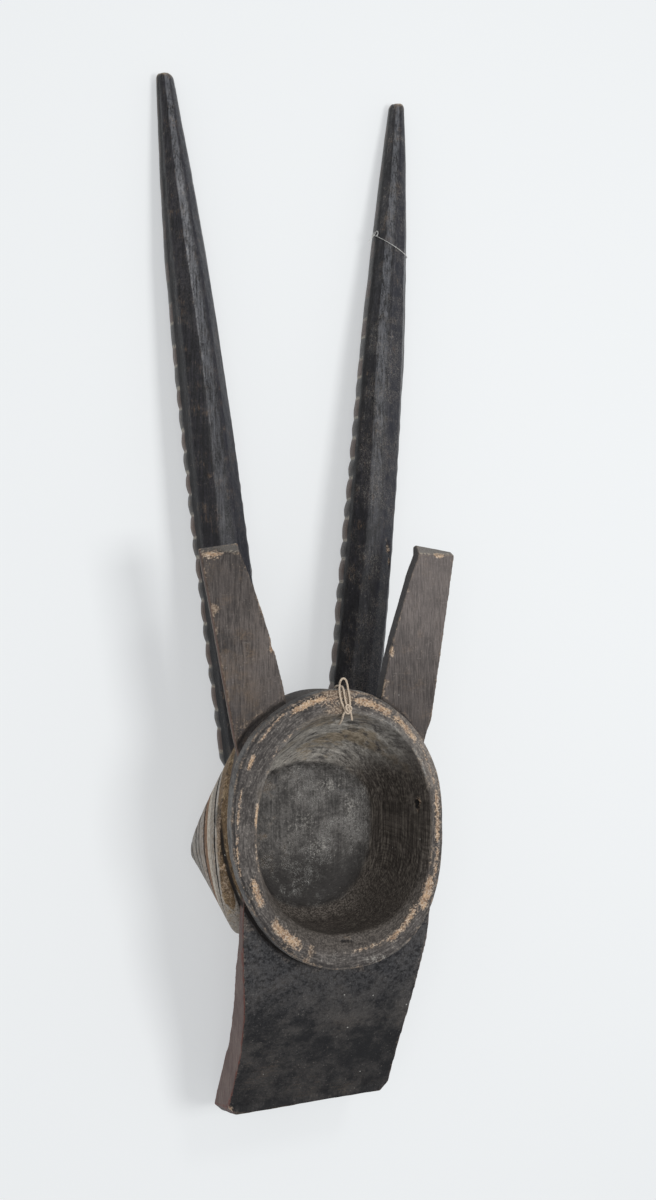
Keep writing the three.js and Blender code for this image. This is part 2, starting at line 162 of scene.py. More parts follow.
class Wire:
    """A socket of a node tree. A sum written with it adds its Math nodes to the tree."""

    def __init__(self, tree, socket=None):
        self.tree = tree
        self.socket = socket

    def add(self, kind, sockets=(), out=0, stops=(), stepped=False, **settings):
        """A node of any kind: its settings first, then the values or links of its sockets."""
        node = self.tree.nodes.new(kind)
        for name, value in settings.items():
            setattr(node, name, value)
        if stops:
            ramp = node.color_ramp
            ramp.interpolation = "CONSTANT" if stepped else "LINEAR"
            while len(ramp.elements) < len(stops):
                ramp.elements.new(0.5)
            for element, (position, colour) in zip(ramp.elements, stops):
                element.position = position
                element.color = srgb(*colour)
        for key, value in dict(sockets).items():
            if isinstance(value, Wire):
                self.tree.links.new(value.socket, node.inputs[key])
            else:
                node.inputs[key].default_value = value
        return Wire(self.tree, node.outputs[out])

    def math(self, operation, *values):
        return self.add("ShaderNodeMath", enumerate(values), operation=operation)

    def __add__(self, other):
        return self.math("ADD", self, other)

    def __sub__(self, other):
        return self.math("SUBTRACT", self, other)

    def __rsub__(self, other):
        return self.math("SUBTRACT", other, self)

    def __mul__(self, other):
        return self.math("MULTIPLY", self, other)

    def __truediv__(self, other):
        return self.math("DIVIDE", self, other)

    def __pow__(self, other):
        return self.math("POWER", self, other)

    def __mod__(self, other):
        return self.math("FLOORED_MODULO", self, other)

    def __abs__(self):
        return self.math("ABSOLUTE", self)

    __radd__ = __add__
    __rmul__ = __mul__

    def fade(self, start, end):
        """0 at start and 1 at end, with a smooth rise between them."""
        return self.add("ShaderNodeMapRange", {0: self, 1: start, 2: end}, interpolation_type="SMOOTHSTEP")

    def axes(self):
        """The three parts of a place."""
        return [self.add("ShaderNodeSeparateXYZ", {0: self}, out=axis) for axis in range(3)]

    def vector(self, *parts):
        """A place from its three parts."""
        return self.add("ShaderNodeCombineXYZ", enumerate(parts))

    def stretched(self, *scale):
        return self.add("ShaderNodeVectorMath", {0: self, 1: scale}, operation="MULTIPLY")

    def noise(self, scale, detail=3.0, rough=0.5, warp=0.0):
        sockets = {"Vector": self, "Scale": scale, "Detail": detail, "Roughness": rough, "Distortion": warp}
        return self.add("ShaderNodeTexNoise", sockets)

    def mark(self, label):
        """A value that is stored on the mesh under a name."""
        return self.add("ShaderNodeAttribute", out=2, attribute_name=label)

    def keep(self, label, value):
        """Stores a value under a name on every point of this shape."""
        sockets = {"Geometry": self, "Name": label, "Value": value}
        return self.add("GeometryNodeStoreNamedAttribute", sockets, data_type="FLOAT", domain="POINT")


def settle(obj):
    """Leaves an object with the plain mesh that its modifiers made."""
    bpy.context.view_layer.update()
    shown = obj.evaluated_get(bpy.context.evaluated_depsgraph_get())
    mesh = bpy.data.meshes.new_from_object(shown)
    mesh.name = obj.name
    if obj.type == "MESH":
        obj.modifiers.clear()
        obj.data = mesh
        return obj
    name = obj.name
    bpy.data.objects.remove(obj)
    return put(name, mesh)


def grow(obj, sizes, finish, build):
    """Gives an object the plain mesh and the finish that a tree of nodes makes of it.

    Every size is a named input of the tree, and build lays the nodes that use them.
    """
    sizes = {**sizes, "Finish": finish}
    tree = bpy.data.node_groups.new(obj.name, "GeometryNodeTree")
    tree.interface.new_socket("Result", in_out="OUTPUT", socket_type="NodeSocketGeometry")
    tree.interface.new_socket("Start", in_out="INPUT", socket_type="NodeSocketGeometry")
    kinds = {bpy.types.Material: "NodeSocketMaterial", bpy.types.Object: "NodeSocketObject"}
    identifiers = {}
    for label, value in sizes.items():
        kind = kinds.get(type(value), "NodeSocketFloat")
        identifiers[label] = tree.interface.new_socket(label, in_out="INPUT", socket_type=kind).identifier
    inputs = tree.nodes.new("NodeGroupInput").outputs
    size = {label: Wire(tree, inputs[label]) for label in sizes}
    shape = build(Wire(tree), Wire(tree, inputs["Start"]), size)
    real = shape.add("GeometryNodeRealizeInstances", {"Geometry": shape})
    dressed = shape.add("GeometryNodeSetMaterial", {"Geometry": real, "Material": size["Finish"]})
    tree.links.new(dressed.socket, tree.nodes.new("NodeGroupOutput").inputs[0])
    modifier = obj.modifiers.new(tree.name, "NODES")
    modifier.node_group = tree
    for label, value in sizes.items():
        modifier[identifiers[label]] = value
    return settle(obj)


def bend(start, leave, end, arrive, t):
    """Where a smooth line is at share t of its way from start to end, from its slopes at both."""
    return (
        start * (2 * t**3 - 3 * t**2 + 1) + leave * (t**3 - 2 * t**2 + t)
        + end * (3 * t**2 - 2 * t**3) + arrive * (t**3 - t**2)
    )


def along_route(route, step):
    """Places a step apart on a smooth line through the points of a route."""
    route = np.array(route, float)
    before = np.vstack((2 * route[0] - route[1], route[:-1]))
    after = np.vstack((route[1:], 2 * route[-1] - route[-2]))
    slope = (after - before) / 2
    t = np.linspace(0, 1, ROUTE_SPAN_STEPS, endpoint=False)[:, None]
    spans = [bend(*ends, t) for ends in zip(route, slope, route[1:], slope[1:])]
    line = np.vstack((*spans, route[-1]))
    run = np.concatenate(([0], np.cumsum(np.linalg.norm(np.diff(line, axis=0), axis=1))))
    marks = np.linspace(0, run[-1], max(4, round(run[-1] / step)))
    return np.column_stack([np.interp(marks, run, line[:, axis]) for axis in range(3)])


def twist(wire, route, size):
    """Sweeps a section of round strands along a route, turned steadily on its way."""
    run = wire.add("GeometryNodeSplineParameter", out=1)
    turned = wire.add("GeometryNodeSetCurveTilt", {"Curve": route, "Tilt": run / size["Pitch"] * math.tau})
    ring = wire.add("GeometryNodeCurvePrimitiveCircle", {"Resolution": SECTION_SIDES, "Radius": 1.0})
    turn = wire.add("GeometryNodeSplineParameter") * size["Strands"] * (math.tau / 2)
    lobe = abs(wire.math("COSINE", turn))
    reach = (1 - size["Slack"] + size["Slack"] * lobe**STRAND_POWER) * size["Width"] / 2
    spot = wire.add("GeometryNodeInputPosition")
    scaled = wire.add("ShaderNodeVectorMath", {0: spot, "Scale": reach}, operation="SCALE")
    ring = wire.add("GeometryNodeSetPosition", {"Geometry": ring, "Position": scaled}).keep("lobe", lobe)
    swept = {"Curve": turned.keep("run", run), "Profile Curve": ring, "Fill Caps": True}
    return wire.add("GeometryNodeSetShadeSmooth", {"Geometry": wire.add("GeometryNodeCurveToMesh", swept)})


def spin_cord(name, points, sizes, finish, closed=False):
    """A cord of twisted strands along points."""
    curve = bpy.data.curves.new(name, "CURVE")
    curve.dimensions = "3D"
    spline = curve.splines.new("POLY")
    spline.points.add(len(points) - 1)
    spline.points.foreach_set("co", np.column_stack((place(points), np.ones(len(points)))).ravel())
    spline.use_cyclic_u = closed
    return grow(put(name, curve), sizes, finish, twist)


def join(first, *others):
    """Makes one piece of several."""
    pieces = [first, *others]
    chosen = {"active_object": first, "selected_objects": pieces, "selected_editable_objects": pieces}
    with bpy.context.temp_override(**chosen):
        bpy.ops.object.join()


def over(under, colour, share, how="MIX"):
    """A colour laid over another one by its share. A colour of three numbers is as it is seen."""
    under, colour = (srgb(*c) if isinstance(c, tuple) and len(c) == 3 else c for c in (under, colour))
    sockets = {0: share, 6: under, 7: colour}
    return share.add("ShaderNodeMix", sockets, out=2, data_type="RGBA", blend_type=how)


def wear(shader, changing, height, distance, strength=1.0):
    """Links what changes over a surface to the shader, and its fine relief."""
    tree = shader.id_data
    for socket, wire in changing.items():
        tree.links.new(wire.socket, shader.inputs[socket])
    bump = height.add("ShaderNodeBump", {"Height": height, "Distance": distance, "Strength": strength})
    tree.links.new(bump.socket, shader.inputs["Normal"])


def spun_thread(name, light, dark, fibre_pitch):
    """Twisted fibre: pale crowns, painted shade in the grooves between the strands, and stray dirt."""
    material, shader = new_material(name, {"Sheen Weight": 0.3})
    wire = Wire(material.node_tree)
    spot = wire.add("ShaderNodeTexCoord", out=3)
    dirt = spot.noise(240.0)
    fibre = spot.noise(2600.0, 2.0)
    ply = wire.math("SINE", wire.mark("run") / fibre_pitch * math.tau) * 0.5 + 0.5
    # Darker from the crown of each strand into the grooves between them: painted shade.
    colour = over(dark, light, (wire.mark("lobe") * 0.75 + fibre * 0.35).fade(0.1, 0.75))
    colour = over(colour, (132, 108, 84), dirt.fade(0.52, 0.78) * 0.6)
    changing = {"Base Color": colour, "Roughness": 0.8 + fibre * 0.15}
    wear(shader, changing, height=fibre + ply * 0.3, distance=0.0004)
    return material


cotton = spun_thread("cotton", light=(222, 204, 182), dark=(150, 128, 104), fibre_pitch=0.0008)
cord_line = along_route(CORD_ROUTE, CORD_STEP)
cord_sizes = {"Width": CORD_DIAMETER / 1000, "Pitch": CORD_PITCH / 1000, "Strands": 3.0, "Slack": 0.2}
hanging_cord = spin_cord("hanging_cord", cord_line, cord_sizes, cotton)

turn = math.tau * np.arange(KNOT_STEPS + 1) / KNOT_STEPS
swing = KNOT_REACH + np.cos(3 * turn)
knot_turns = KNOT_SPREAD * np.column_stack((
    swing * np.cos(2 * turn), swing * np.sin(2 * turn), np.sin(3 * turn),
)) + (0, 0, KNOT_LIFT)
knot_sizes = {**cord_sizes, "Width": KNOT_CORD_DIAMETER / 1000}
cord_knot = spin_cord("cord_knot_turns", along_route(KNOT + knot_turns, KNOT_STEP), knot_sizes, cotton)
join(cord_knot, spin_cord("cord_tail", along_route(CORD_TAIL, KNOT_STEP), knot_sizes, cotton))

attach(hanging_cord, "root")
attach(cord_knot, "root")
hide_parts("cord_from_hole", "cord_loop", "cord_over_rim")
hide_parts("cord_knot")


# Rim and head of the mask: the log is cut to an oval collar, a waist behind it, and
# a full round face that runs forward to the nose ridge. The hollow for the wearer's
# face has a bevelled mouth, a long slope over the brow and a steep lower wall.
OVAL_STEPS = 150
OVAL_POWER = 2.15
OVAL_POWER_LOW_RIGHT = 2.5
# Each row of an oval: depth, half width, reach towards the horns, reach towards the
# snout, and how far it lies to the right.
COLLAR = [
    (0, 109.6, 138.6, 140.6, 0), (1.6, 111, 140, 142, 0), (14, 112, 141, 144, 0), (18, 107, 136, 140, 0),
]
HEAD = [
    COLLAR[-1], (62, 105, 138, 146, 0), (110, 88, 130, 138, 0), (150, 60, 108, 118, 0), (174, 28, 78, 90, 0),
]
HOLLOW_LIP = [(-5, 99, 122, 127, 6), (0, 94.4, 117.4, 121.6, 6)]
HOLLOW = [
    (1.6, 92.6, 115.2, 118.6, 6), (12, 90, 110, 106.5, 6), (28, 87.5, 102.5, 108.5, 5.5),
    (45, 85, 94, 110, 5), (80, 79, 76, 109, 3), (98, 73, 60, 101, 1), (106, 64, 50, 92, 1),
    (108, 52, 38, 80, 1),
]
# The rim's size against a true oval, at degrees from its right end.
RIM_SWELL = [
    (0, 1.015), (20, 1.015), (40, 1.0), (58, 0.985), (72, 1.0), (115, 1.0), (128, 1.015), (140, 1.045),
    (152, 1.055), (162, 1.045), (175, 1.03), (187, 1.015), (196, 0.995), (206, 0.97), (220, 0.958),
    (242, 0.958), (254, 0.97), (266, 0.99), (300, 1.0), (335, 1.012),
]
SWELL_REACH = 40
SECTION_COUNT = 70


def through(rows, steps):
    """Rows of sizes on smooth curves that never swing past the rows they go through."""
    rows = np.array(rows, float)
    spot = rows[:, 0]
    gap = np.diff(spot)
    climb = np.diff(rows, axis=0) / gap[:, None]
    same = climb[:-1] * climb[1:] > 0
    middle = np.where(same, 2 * climb[:-1] * climb[1:] / np.where(same, climb[:-1] + climb[1:], 1), 0)
    slope = np.vstack((climb[:1], middle, climb[-1:]))
    marks = np.linspace(spot[0], spot[-1], steps)
    order = np.searchsorted(spot * np.sign(gap[0]), marks * np.sign(gap[0]), side="right") - 1
    order = np.clip(order, 0, len(gap) - 1)
    t = ((marks - spot[order]) / gap[order])[:, None]
    width = gap[order][:, None]
    return bend(rows[order], slope[order] * width, rows[order + 1], slope[order + 1] * width, t)


def rim_swell(turn):
    """How far the hand-cut rim swells from a true oval, at degrees from its right end."""
    return np.interp(turn % 360, *np.array(RIM_SWELL).T, period=360)


def oval(depth, half, top, bottom, shift, swell=0.0):
    angle = math.tau * np.arange(OVAL_STEPS) / OVAL_STEPS
    c, s = np.cos(angle), np.sin(angle)
    power = 2 / np.where((c > 0) & (s < 0), OVAL_POWER_LOW_RIGHT, OVAL_POWER)
    x = np.sign(c) * np.abs(c) ** power
    y = np.sign(s) * np.abs(s) ** power
    size = 1 + swell * (rim_swell(np.degrees(np.arctan2(y, x))) - 1)
    along = np.where(s > 0, top, bottom) * y * size
    return np.column_stack((shift + half * x * size, along, np.full(OVAL_STEPS, depth)))


def loft(name, rings):
    """A closed body over rings of equal length, with a fan over each end."""
    rings = np.array(rings)
    count, steps = rings.shape[:2]
    points = place(np.vstack((rings.reshape(-1, 3), rings[[0, -1]].mean(axis=1))))
    k = np.arange(steps)
    k2 = (k + 1) % steps
    start = np.arange(count - 1)[:, None] * steps
    quads = np.stack((start + k, start + k2, start + steps + k2, start + steps + k), axis=-1).reshape(-1, 4)
    last = (count - 1) * steps
    middle = np.full(steps, count * steps)
    first_fan = np.column_stack((k2, k, middle))
    last_fan = np.column_stack((last + k, last + k2, middle + 1))
    faces = [*quads.tolist(), *first_fan.tolist(), *last_fan.tolist()]
    mesh = bpy.data.meshes.new(name)
    mesh.from_pydata(points.tolist(), [], faces)
    mesh.update()
    triangles = np.array([(face[0], *pair) for face in faces for pair in zip(face[1:], face[2:])])
    a, b, c = points[triangles.T]
    if np.einsum("ij,ij->i", a, np.cross(b, c)).sum() < 0:
        mesh.flip_normals()
    return put(name, mesh)


def head_oval(row):
    """A ring of the head, which loses the rim's swell on its way down."""
    return oval(*row, swell=max(0, 1 - (row[0] - HEAD[0][0]) / SWELL_REACH))


carving = loft("head", [
    *[oval(*row, swell=1) for row in COLLAR[:3]],
    *[head_oval(row) for row in through(HEAD, SECTION_COUNT)],
])
hollow = loft("hollow", [oval(*row) for row in [*HOLLOW_LIP, *through(HOLLOW, SECTION_COUNT)]])


# The muzzle: a flat back that runs forward from under the rim, upright cheeks, then
# the narrower nose with its ridge. The snout is cut off slanting, with the mouth as
# a notch across it, and a brow ridge rises from the forehead into the nose.
SNOUT_END = -304.5
SNOUT_SKEW = 0.036
SNOUT_LEAN = 0.26
SNOUT_CHAMFER = 9
RIDGE_HALF = 15
RIDGE_SLOPE = 16
CHEEK_STEP = 7
CHEEK_SLOPE = 16
NOSE_STEP = 6
MUZZLE = [
    # along, half width left and right, depth of the back, the cheeks' edge, half the nose, its front
    (-50, 90, 103, 24, 46, 48, 187), (-90, 97, 106, 18, 32, 50, 188), (-118, 96, 104, 21, 39, 52, 188),
    (-144, 94, 100, 26, 54, 54, 189), (-187, 89, 95, 40, 79, 56, 190), (-235, 86, 92, 64, 109, 57, 192),
    (SNOUT_END, 90, 90, 94, 152, 57, 192),
]
MOUTH_DEPTH = 158
MOUTH_START = SNOUT_END - 60
MOUTH = [(-74, 13, -6), (-44.4, 20, 8), (44.4, 20, 8), (74, 13, -6)]
BROW = [(112, 150, 34), (86, 172, 40), (40, 182, 44), (-70, 188, 50)]
BROW_FOOT = 120
BROW_SIDE_DROP = 28
BROW_SHOULDER_HALF, BROW_SHOULDER_DROP = 25, 10
BROW_RIDGE_HALF = 12


def muzzle_ring(along, left, right, back, cheek, nose, front, inset=0.0, slant=False):
    def side(half):
        return [
            (half - inset, back), (half - inset, cheek),
            (nose + NOSE_STEP, cheek + CHEEK_STEP), (nose, cheek + CHEEK_SLOPE),
            (RIDGE_HALF + RIDGE_SLOPE, front - RIDGE_SLOPE), (RIDGE_HALF, front),
        ]
    outline = [*side(right), *[(-x, d) for x, d in side(left)][::-1]]
    lean = [SNOUT_SKEW * x - SNOUT_LEAN * (d - back) if slant else 0 for x, d in outline]
    return [(x, along + shift, d) for (x, d), shift in zip(outline, lean)]


def brow_ring(along, front, base):
    half = [
        (base, BROW_FOOT), (base, front - BROW_SIDE_DROP),
        (BROW_SHOULDER_HALF, front - BROW_SHOULDER_DROP), (BROW_RIDGE_HALF, front),
    ]
    return [(-x, along, d) for x, d in half] + [(x, along, d) for x, d in half[::-1]]


shoulder = [(x, y + SNOUT_CHAMFER, d) for x, y, d in muzzle_ring(*MUZZLE[-1], slant=True)]
muzzle = loft("muzzle", [
    *[muzzle_ring(*row) for row in through(MUZZLE[:-1], steps=28)],
    shoulder,
    muzzle_ring(*MUZZLE[-1], inset=SNOUT_CHAMFER, slant=True),
])
mouth = loft("mouth", [
    [
        (x, MOUTH_START, MOUTH_DEPTH - half), (x, MOUTH_START, MOUTH_DEPTH + half),
        (x, SNOUT_END + reach, MOUTH_DEPTH),
    ]
    for x, half, reach in MOUTH
])
brow = loft("brow", [brow_ring(*row) for row in BROW])


# The ears: flat planks of the same wood that lean outwards, one from each side of the
# head, with a bevel across the top.
EAR_TOP = 284
EAR_THICKNESS = 21
EAR = [
    # along, inner and outer edge, depth
    (30, 30, 84, 26), (92, 46, 104, 18), (139, 53, 112.5, 19), (EAR_TOP - 30, 87, 133, 25),
    (EAR_TOP - 7, 97, 137, 26.5),
]
EAR_TILT = 4
EAR_BEVEL = {"cut": 8, "slant": 3}
EAR_DRAFT = 2
RIGHT_EAR_FULLER, RIGHT_EAR_FULLER_FROM = 2.6, 100


def ear_ring(side, along, inner, outer, depth, cut=0, slant=0):
    outer += RIGHT_EAR_FULLER * (side > 0) * (along > RIGHT_EAR_FULLER_FROM)
    return [
        (side * inner, along + slant, depth + cut), (side * outer, along - slant, depth + cut + EAR_TILT),
        (side * (outer - EAR_DRAFT), along - slant, depth + EAR_THICKNESS),
        (side * (inner + EAR_DRAFT), along + slant, depth + EAR_THICKNESS),
    ]


ears = [
    loft(name, [
        *[ear_ring(side, *row) for row in through(EAR, steps=24)],
        ear_ring(side, EAR_TOP, *EAR[-1][1:], **EAR_BEVEL),
    ])
    for name, side in (("ear_left", -1), ("ear_right", 1))
]


# The eye bosses: blunt oval cones on both cheeks, cut in concentric rings round a
# small flat pupil. The rings are turned edge-on to the hollow back.
EYE_CENTRE = (68, -17, 108)
EYE_TURN = math.radians(31)
EYE_HALF_LENGTH = 104
EYE_HALF_WIDTH = 90
EYE_HEIGHT = 57
EYE_BULGE = 1.2
EYE_BULGE_BELOW = 0.9
EYE_EDGE, EYE_EDGE_HEIGHT = 0.985, 3
EYE_FOOT = [(0.7, -52), (0.97, -22), (1, -6)]
EYE_PUPIL = 0.085
EYE_PUPIL_DROP = 18
# Cut rings: where, as a share of the boss's radius, how deep, and half how wide.
EYE_RINGS = [
    (0.86, 3.2, 0.02), (0.605, 2.4, 0.018), (0.465, 1.6, 0.014), (0.36, 2.2, 0.016), (0.2, 1.8, 0.014),
]
EYE_RING_DROP = 0.1
EYE_STEPS = 140
EYE_PROFILE_STEPS = 240


def eye_height(share, turn):
    """Height of an eye boss over its base, its grooves included, at a share of its radius."""
    climb = np.clip((EYE_EDGE - share) / (EYE_EDGE - EYE_PUPIL), 0, 1)
    bulge = EYE_BULGE + (EYE_BULGE - EYE_BULGE_BELOW) * np.minimum(np.sin(turn), 0)
    height = EYE_EDGE_HEIGHT + (EYE_HEIGHT - EYE_EDGE_HEIGHT) * (1 - (1 - climb) ** bulge)
    for ring, groove, half in EYE_RINGS:
        off = share + EYE_RING_DROP * np.sin(turn) - ring
        height = height - groove * np.clip(1 - np.abs(off) / half, 0, 1)
    return height


def eye_frame(side):
    """The centre of an eye boss, and the ways it points outwards and rearwards."""
    outwards = np.array((side * math.cos(EYE_TURN), 0, math.sin(EYE_TURN)))
    rearwards = np.array((side * math.sin(EYE_TURN), 0, -math.cos(EYE_TURN)))
    centre = np.array((side * EYE_CENTRE[0], *EYE_CENTRE[1:]))
    return centre, outwards, rearwards


def eye_boss(name, side):
    centre, outwards, rearwards = eye_frame(side)
    turn = math.tau * np.arange(EYE_STEPS) / EYE_STEPS
    profile = [(share, np.full(EYE_STEPS, height)) for share, height in EYE_FOOT]
    shares = np.linspace(EYE_EDGE, EYE_PUPIL, EYE_PROFILE_STEPS)
    profile += [(share, eye_height(share, turn)) for share in shares]
    rings = []
    for share, height in profile:
        reach = EYE_HALF_WIDTH * share * np.cos(turn)
        ring = centre + np.outer(height, outwards) + np.outer(reach, rearwards)
        ring[:, 1] += EYE_HALF_LENGTH * share * np.sin(turn)
        ring[:, 1] -= EYE_PUPIL_DROP * np.clip(height, 0, None) / EYE_HEIGHT
        rings.append(ring)
    return loft(name, rings)


eyes = [eye_boss("eye_left", -1), eye_boss("eye_right", 1)]


# The horns: long tapering spikes, smooth and faceted behind, ribbed in front. The
# ribs are low blocks between cut notches, and fade out on the way to the tip.
HORN_SIZES = {
    "Root across": 57.6, "Tip across": 137.0, "Bow across": 2.8,
    "Root level": 60.0, "Tip level": float(HORN_TIP_LEVEL),
    "Root depth": 130.4, "Tip depth": 182.0, "Bow depth": -4.6,
    "Width": 60.0, "Tip width": 18.0, "Taper from": 200.0, "Taper power": 2.4,
    "Extra depth": 4.0, "Uneven": 0.02,
    "Rib pitch": 22.8, "First rib": 92.0, "Rib count": 22.0, "Rib depth": 3.4, "Rib fullness": 0.32,
    "Rib angle": math.radians(77), "Waver rate": 0.13, "Waver": 1.4, "Fade from": 360.0, "Fade to": 570.0,
    "Facet angle": math.radians(38), "Facet depth": 0.95, "Wander rate": 0.012, "Wander": 0.09,
    "Buried": 35.0, "Buried drop": 24.0, "Buried shrink": 12.0,
    "Tip round": 1.6, "Tip round over": 4.0,
}
FACET_SHIFT = {-1: math.radians(-14), 1: math.radians(-32)}
HORN_SIDES = 84
HORN_STEPS = 620
RIB_ENDS = (-0.05, 0.1)
# One stained finish for the whole carving. Its colours and its relief are laid last.
wood, wood_shader = new_material("stained_wood", {"Specular IOR Level": 0.34, "Coat Roughness": 0.28})


def at_least(value, least):
    """A value kept from falling below another, in numbers or in wires."""
    return value.math("MAXIMUM", value, least) if isinstance(value, Wire) else np.maximum(value, least)


def horn_line(level, size):
    """Where a horn's middle lies at a level, across and in depth, and how wide the horn is there."""
    share = (level - size["Root level"]) / (size["Tip level"] - size["Root level"])
    bow = share * (1 - share) * 4
    lean = size["Tip across"] - size["Root across"]
    across = size["Root across"] + lean * share + size["Bow across"] * bow
    drop = size["Tip depth"] - size["Root depth"]
    depth = size["Root depth"] + drop * share + size["Bow depth"] * bow
    taper = at_least(level - size["Taper from"], 0.0) / (size["Tip level"] - size["Taper from"])
    width = size["Width"] - (size["Width"] - size["Tip width"]) * taper ** size["Taper power"]
    return across, depth, width


def carve_horn(wire, _, size):
    """A cylinder of unit size, each of whose points finds its level and angle on the horn."""
    root, tip, side = size["Root level"], size["Tip level"], size["Side"]
    shape = wire.add("GeometryNodeMeshCylinder", {
        "Vertices": HORN_SIDES, "Side Segments": HORN_STEPS, "Fill Segments": 2, "Radius": 1.0, "Depth": 1.0,
    }, fill_type="TRIANGLE_FAN")
    x, y, z = wire.add("GeometryNodeInputPosition").axes()
    level = root - size["Buried"] + (z + 0.5) * (tip - root + size["Buried"])
    angle = wire.math("ARCTAN2", x, y)
    across, depth, width = horn_line(level, size)
    thick = width + size["Extra depth"]

    uneven_level = level + wire.math("SINE", level * size["Waver rate"] + side) * size["Waver"]
    rib = (uneven_level - size["First rib"]) / size["Rib pitch"]
    nearest = wire.math("MINIMUM", at_least(wire.math("ROUND", rib), 0.0), size["Rib count"] - 1)
    off = wire.math("MINIMUM", abs(rib - nearest) * 2, 1.0)
    front = abs(angle).fade(*(size["Rib angle"] + end for end in RIB_ENDS))
    ribbed = (1 - level.fade(size["Fade from"], size["Fade to"])) * front
    notch = size["Rib depth"] * (1 - off ** size["Rib fullness"]) * ribbed

    wander = wire.math("SINE", level * size["Wander rate"] + side) * size["Wander"]
    half = size["Facet angle"] / 2
    off_arris = abs((angle * side - size["Facet shift"] + wander + half) % size["Facet angle"] - half)
    flat = wire.math("COSINE", half) / wire.math("COSINE", half - off_arris)
    faceted = 1 - (1 - flat) * size["Facet depth"] * (1 - front)
    buried = at_least(root - level, 0.0) / size["Buried"]
    tip_round = (level - tip + size["Tip round over"]).fade(0.0, size["Tip round over"]) * size["Tip round"]
    shrink = notch + buried * size["Buried shrink"] + tip_round
    place_x = side * (across + (width * (1 - side * size["Uneven"]) / 2 * faceted - shrink) * x)
    place_d = depth - (thick / 2 * faceted - shrink) * y - buried * size["Buried drop"]
    centre = RIM_CENTRE.tolist()
    spot = wire.vector(place_x * 0.001 + centre[0], level * 0.001 + centre[1], centre[2] - place_d * 0.001)
    return wire.add("GeometryNodeSetPosition", {"Geometry": shape, "Position": spot})


def horn(name, side):
    body = put(name, bpy.data.meshes.new(name))
    grow(body, {**HORN_SIZES, "Side": float(side), "Facet shift": FACET_SHIFT[side]}, wood, carve_horn)
    if side < 0:
        body.data.flip_normals()
    return body


horns = [horn("horn_left", -1), horn("horn_right", 1)]


# All of these are one piece of wood. Here they are joined, and the hollow, the mouth
# and the hole for the cord are cut. The wood is cut off flat where it lies.
HOLE = np.array([(3.5, 103, 14), (2.5, 136, 27)])
HOLE_RADIUS = 3
HOLE_STEPS = 20
GRAIN_SIZE = 0.00125
TRIANGLES = 196_000
FLOOR_DEPTH = RIM_CENTRE[2] * 1000
BELOW_DEPTH = 260
BEYOND_SIDES = 400
BEYOND_ENDS = (-600, 1200)

hole_run = HOLE[1] - HOLE[0]
hole_across = np.array((1, 0, 0))
hole_up = np.cross(hole_run, hole_across)
hole_up = hole_up / np.linalg.norm(hole_up)
hole_ring = [
    HOLE_RADIUS * (math.cos(turn) * hole_across + math.sin(turn) * hole_up)
    for turn in math.tau * np.arange(HOLE_STEPS) / HOLE_STEPS
]
hole = loft("hole", [HOLE[0] + share * hole_run + hole_ring for share in (-0.5, 0.5, 1.5)])
below = loft("below", [
    [
        (-BEYOND_SIDES, y, FLOOR_DEPTH), (BEYOND_SIDES, y, FLOOR_DEPTH),
        (BEYOND_SIDES, y, BELOW_DEPTH), (-BEYOND_SIDES, y, BELOW_DEPTH),
    ]
    for y in BEYOND_ENDS
])

head = put("whole_head", carving.data.copy())
parts = {"head": head, "hollow": hollow, "muzzle": muzzle, "muzzle_brow": brow}
parts.update({body.name: body for body in (*ears, *horns, *eyes)})
cuts = [(body, "UNION") for body in (muzzle, brow, *ears, *horns, *eyes)]
cuts += [(body, "DIFFERENCE") for body in (hollow, mouth, hole, below)]
for body, operation in cuts:
    cut = carving.modifiers.new(body.name, "BOOLEAN")
    cut.operation = operation
    cut.solver = "MANIFOLD"
    cut.object = body
remesh = carving.modifiers.new("grain", "REMESH")
remesh.mode = "VOXEL"
remesh.voxel_size = GRAIN_SIZE
settle(carving)
carving.name = "mask_carving"


# Tool marks and wear of the wood: shallow adze cuts along the horns and the ears, gouge
# cuts that follow the walls of the hollow, a groove round the foot of the rim, eased
# edges, and the chips and rubbed places that show bare wood.
CHIPS = [
    # across, along, depth, half size across, along and deep, how deep the chip is
    (-125, 278, 28, 19, 12, 12, 1.1), (-66, 182, 22, 3.5, 8, 6, 1.0), (121, 277, 28, 13, 6, 9, 0.6),
    (64.5, 177, 24, 5, 10, 8, 0.8), (100, 287, 116, 4.5, 10, 8, 1.3), (3.5, 104.5, 12.5, 6, 5, 5, 0.2),
    (101, 272, 117, 3, 7, 7, 0.8), (36, -141.5, 1.5, 20, 3.2, 3.5, 0.5), (92, 21, 20, 7, 8, 6, 0.4),
    (-88, -303, 95, 5, 9, 9, 0.6), (-112, -36, 36, 5, 9, 8, 0.7),
]
RUBBED = [
    # place on the rim in degrees from its right end, from and to; middle and half width
    # as a share of the rim's radius; how far the stain is gone
    (95, 121, 0.95, 0.04, 1.0), (120, 142, 0.975, 0.018, 0.75), (145, 153, 0.965, 0.03, 0.85),
    (159, 178, 0.968, 0.02, 0.75), (176, 198, 0.972, 0.02, 0.7), (163, 177, 0.80, 0.025, 0.95),
    (199, 215, 0.87, 0.055, 0.9), (222, 246, 0.865, 0.06, 0.95), (57, 84, 0.93, 0.05, 0.95),
    (38, 60, 0.935, 0.045, 0.8), (14, 40, 0.955, 0.025, 0.62), (-10, 17, 0.955, 0.04, 0.8),
    (-24, -8, 0.96, 0.03, 0.75), (-38, -22, 0.93, 0.06, 1.05), (-62, -36, 0.885, 0.04, 0.8),
    (-86, -60, 0.865, 0.025, 0.55), (118, 146, 0.82, 0.02, 0.55), (180, 200, 0.80, 0.02, 0.5),
]
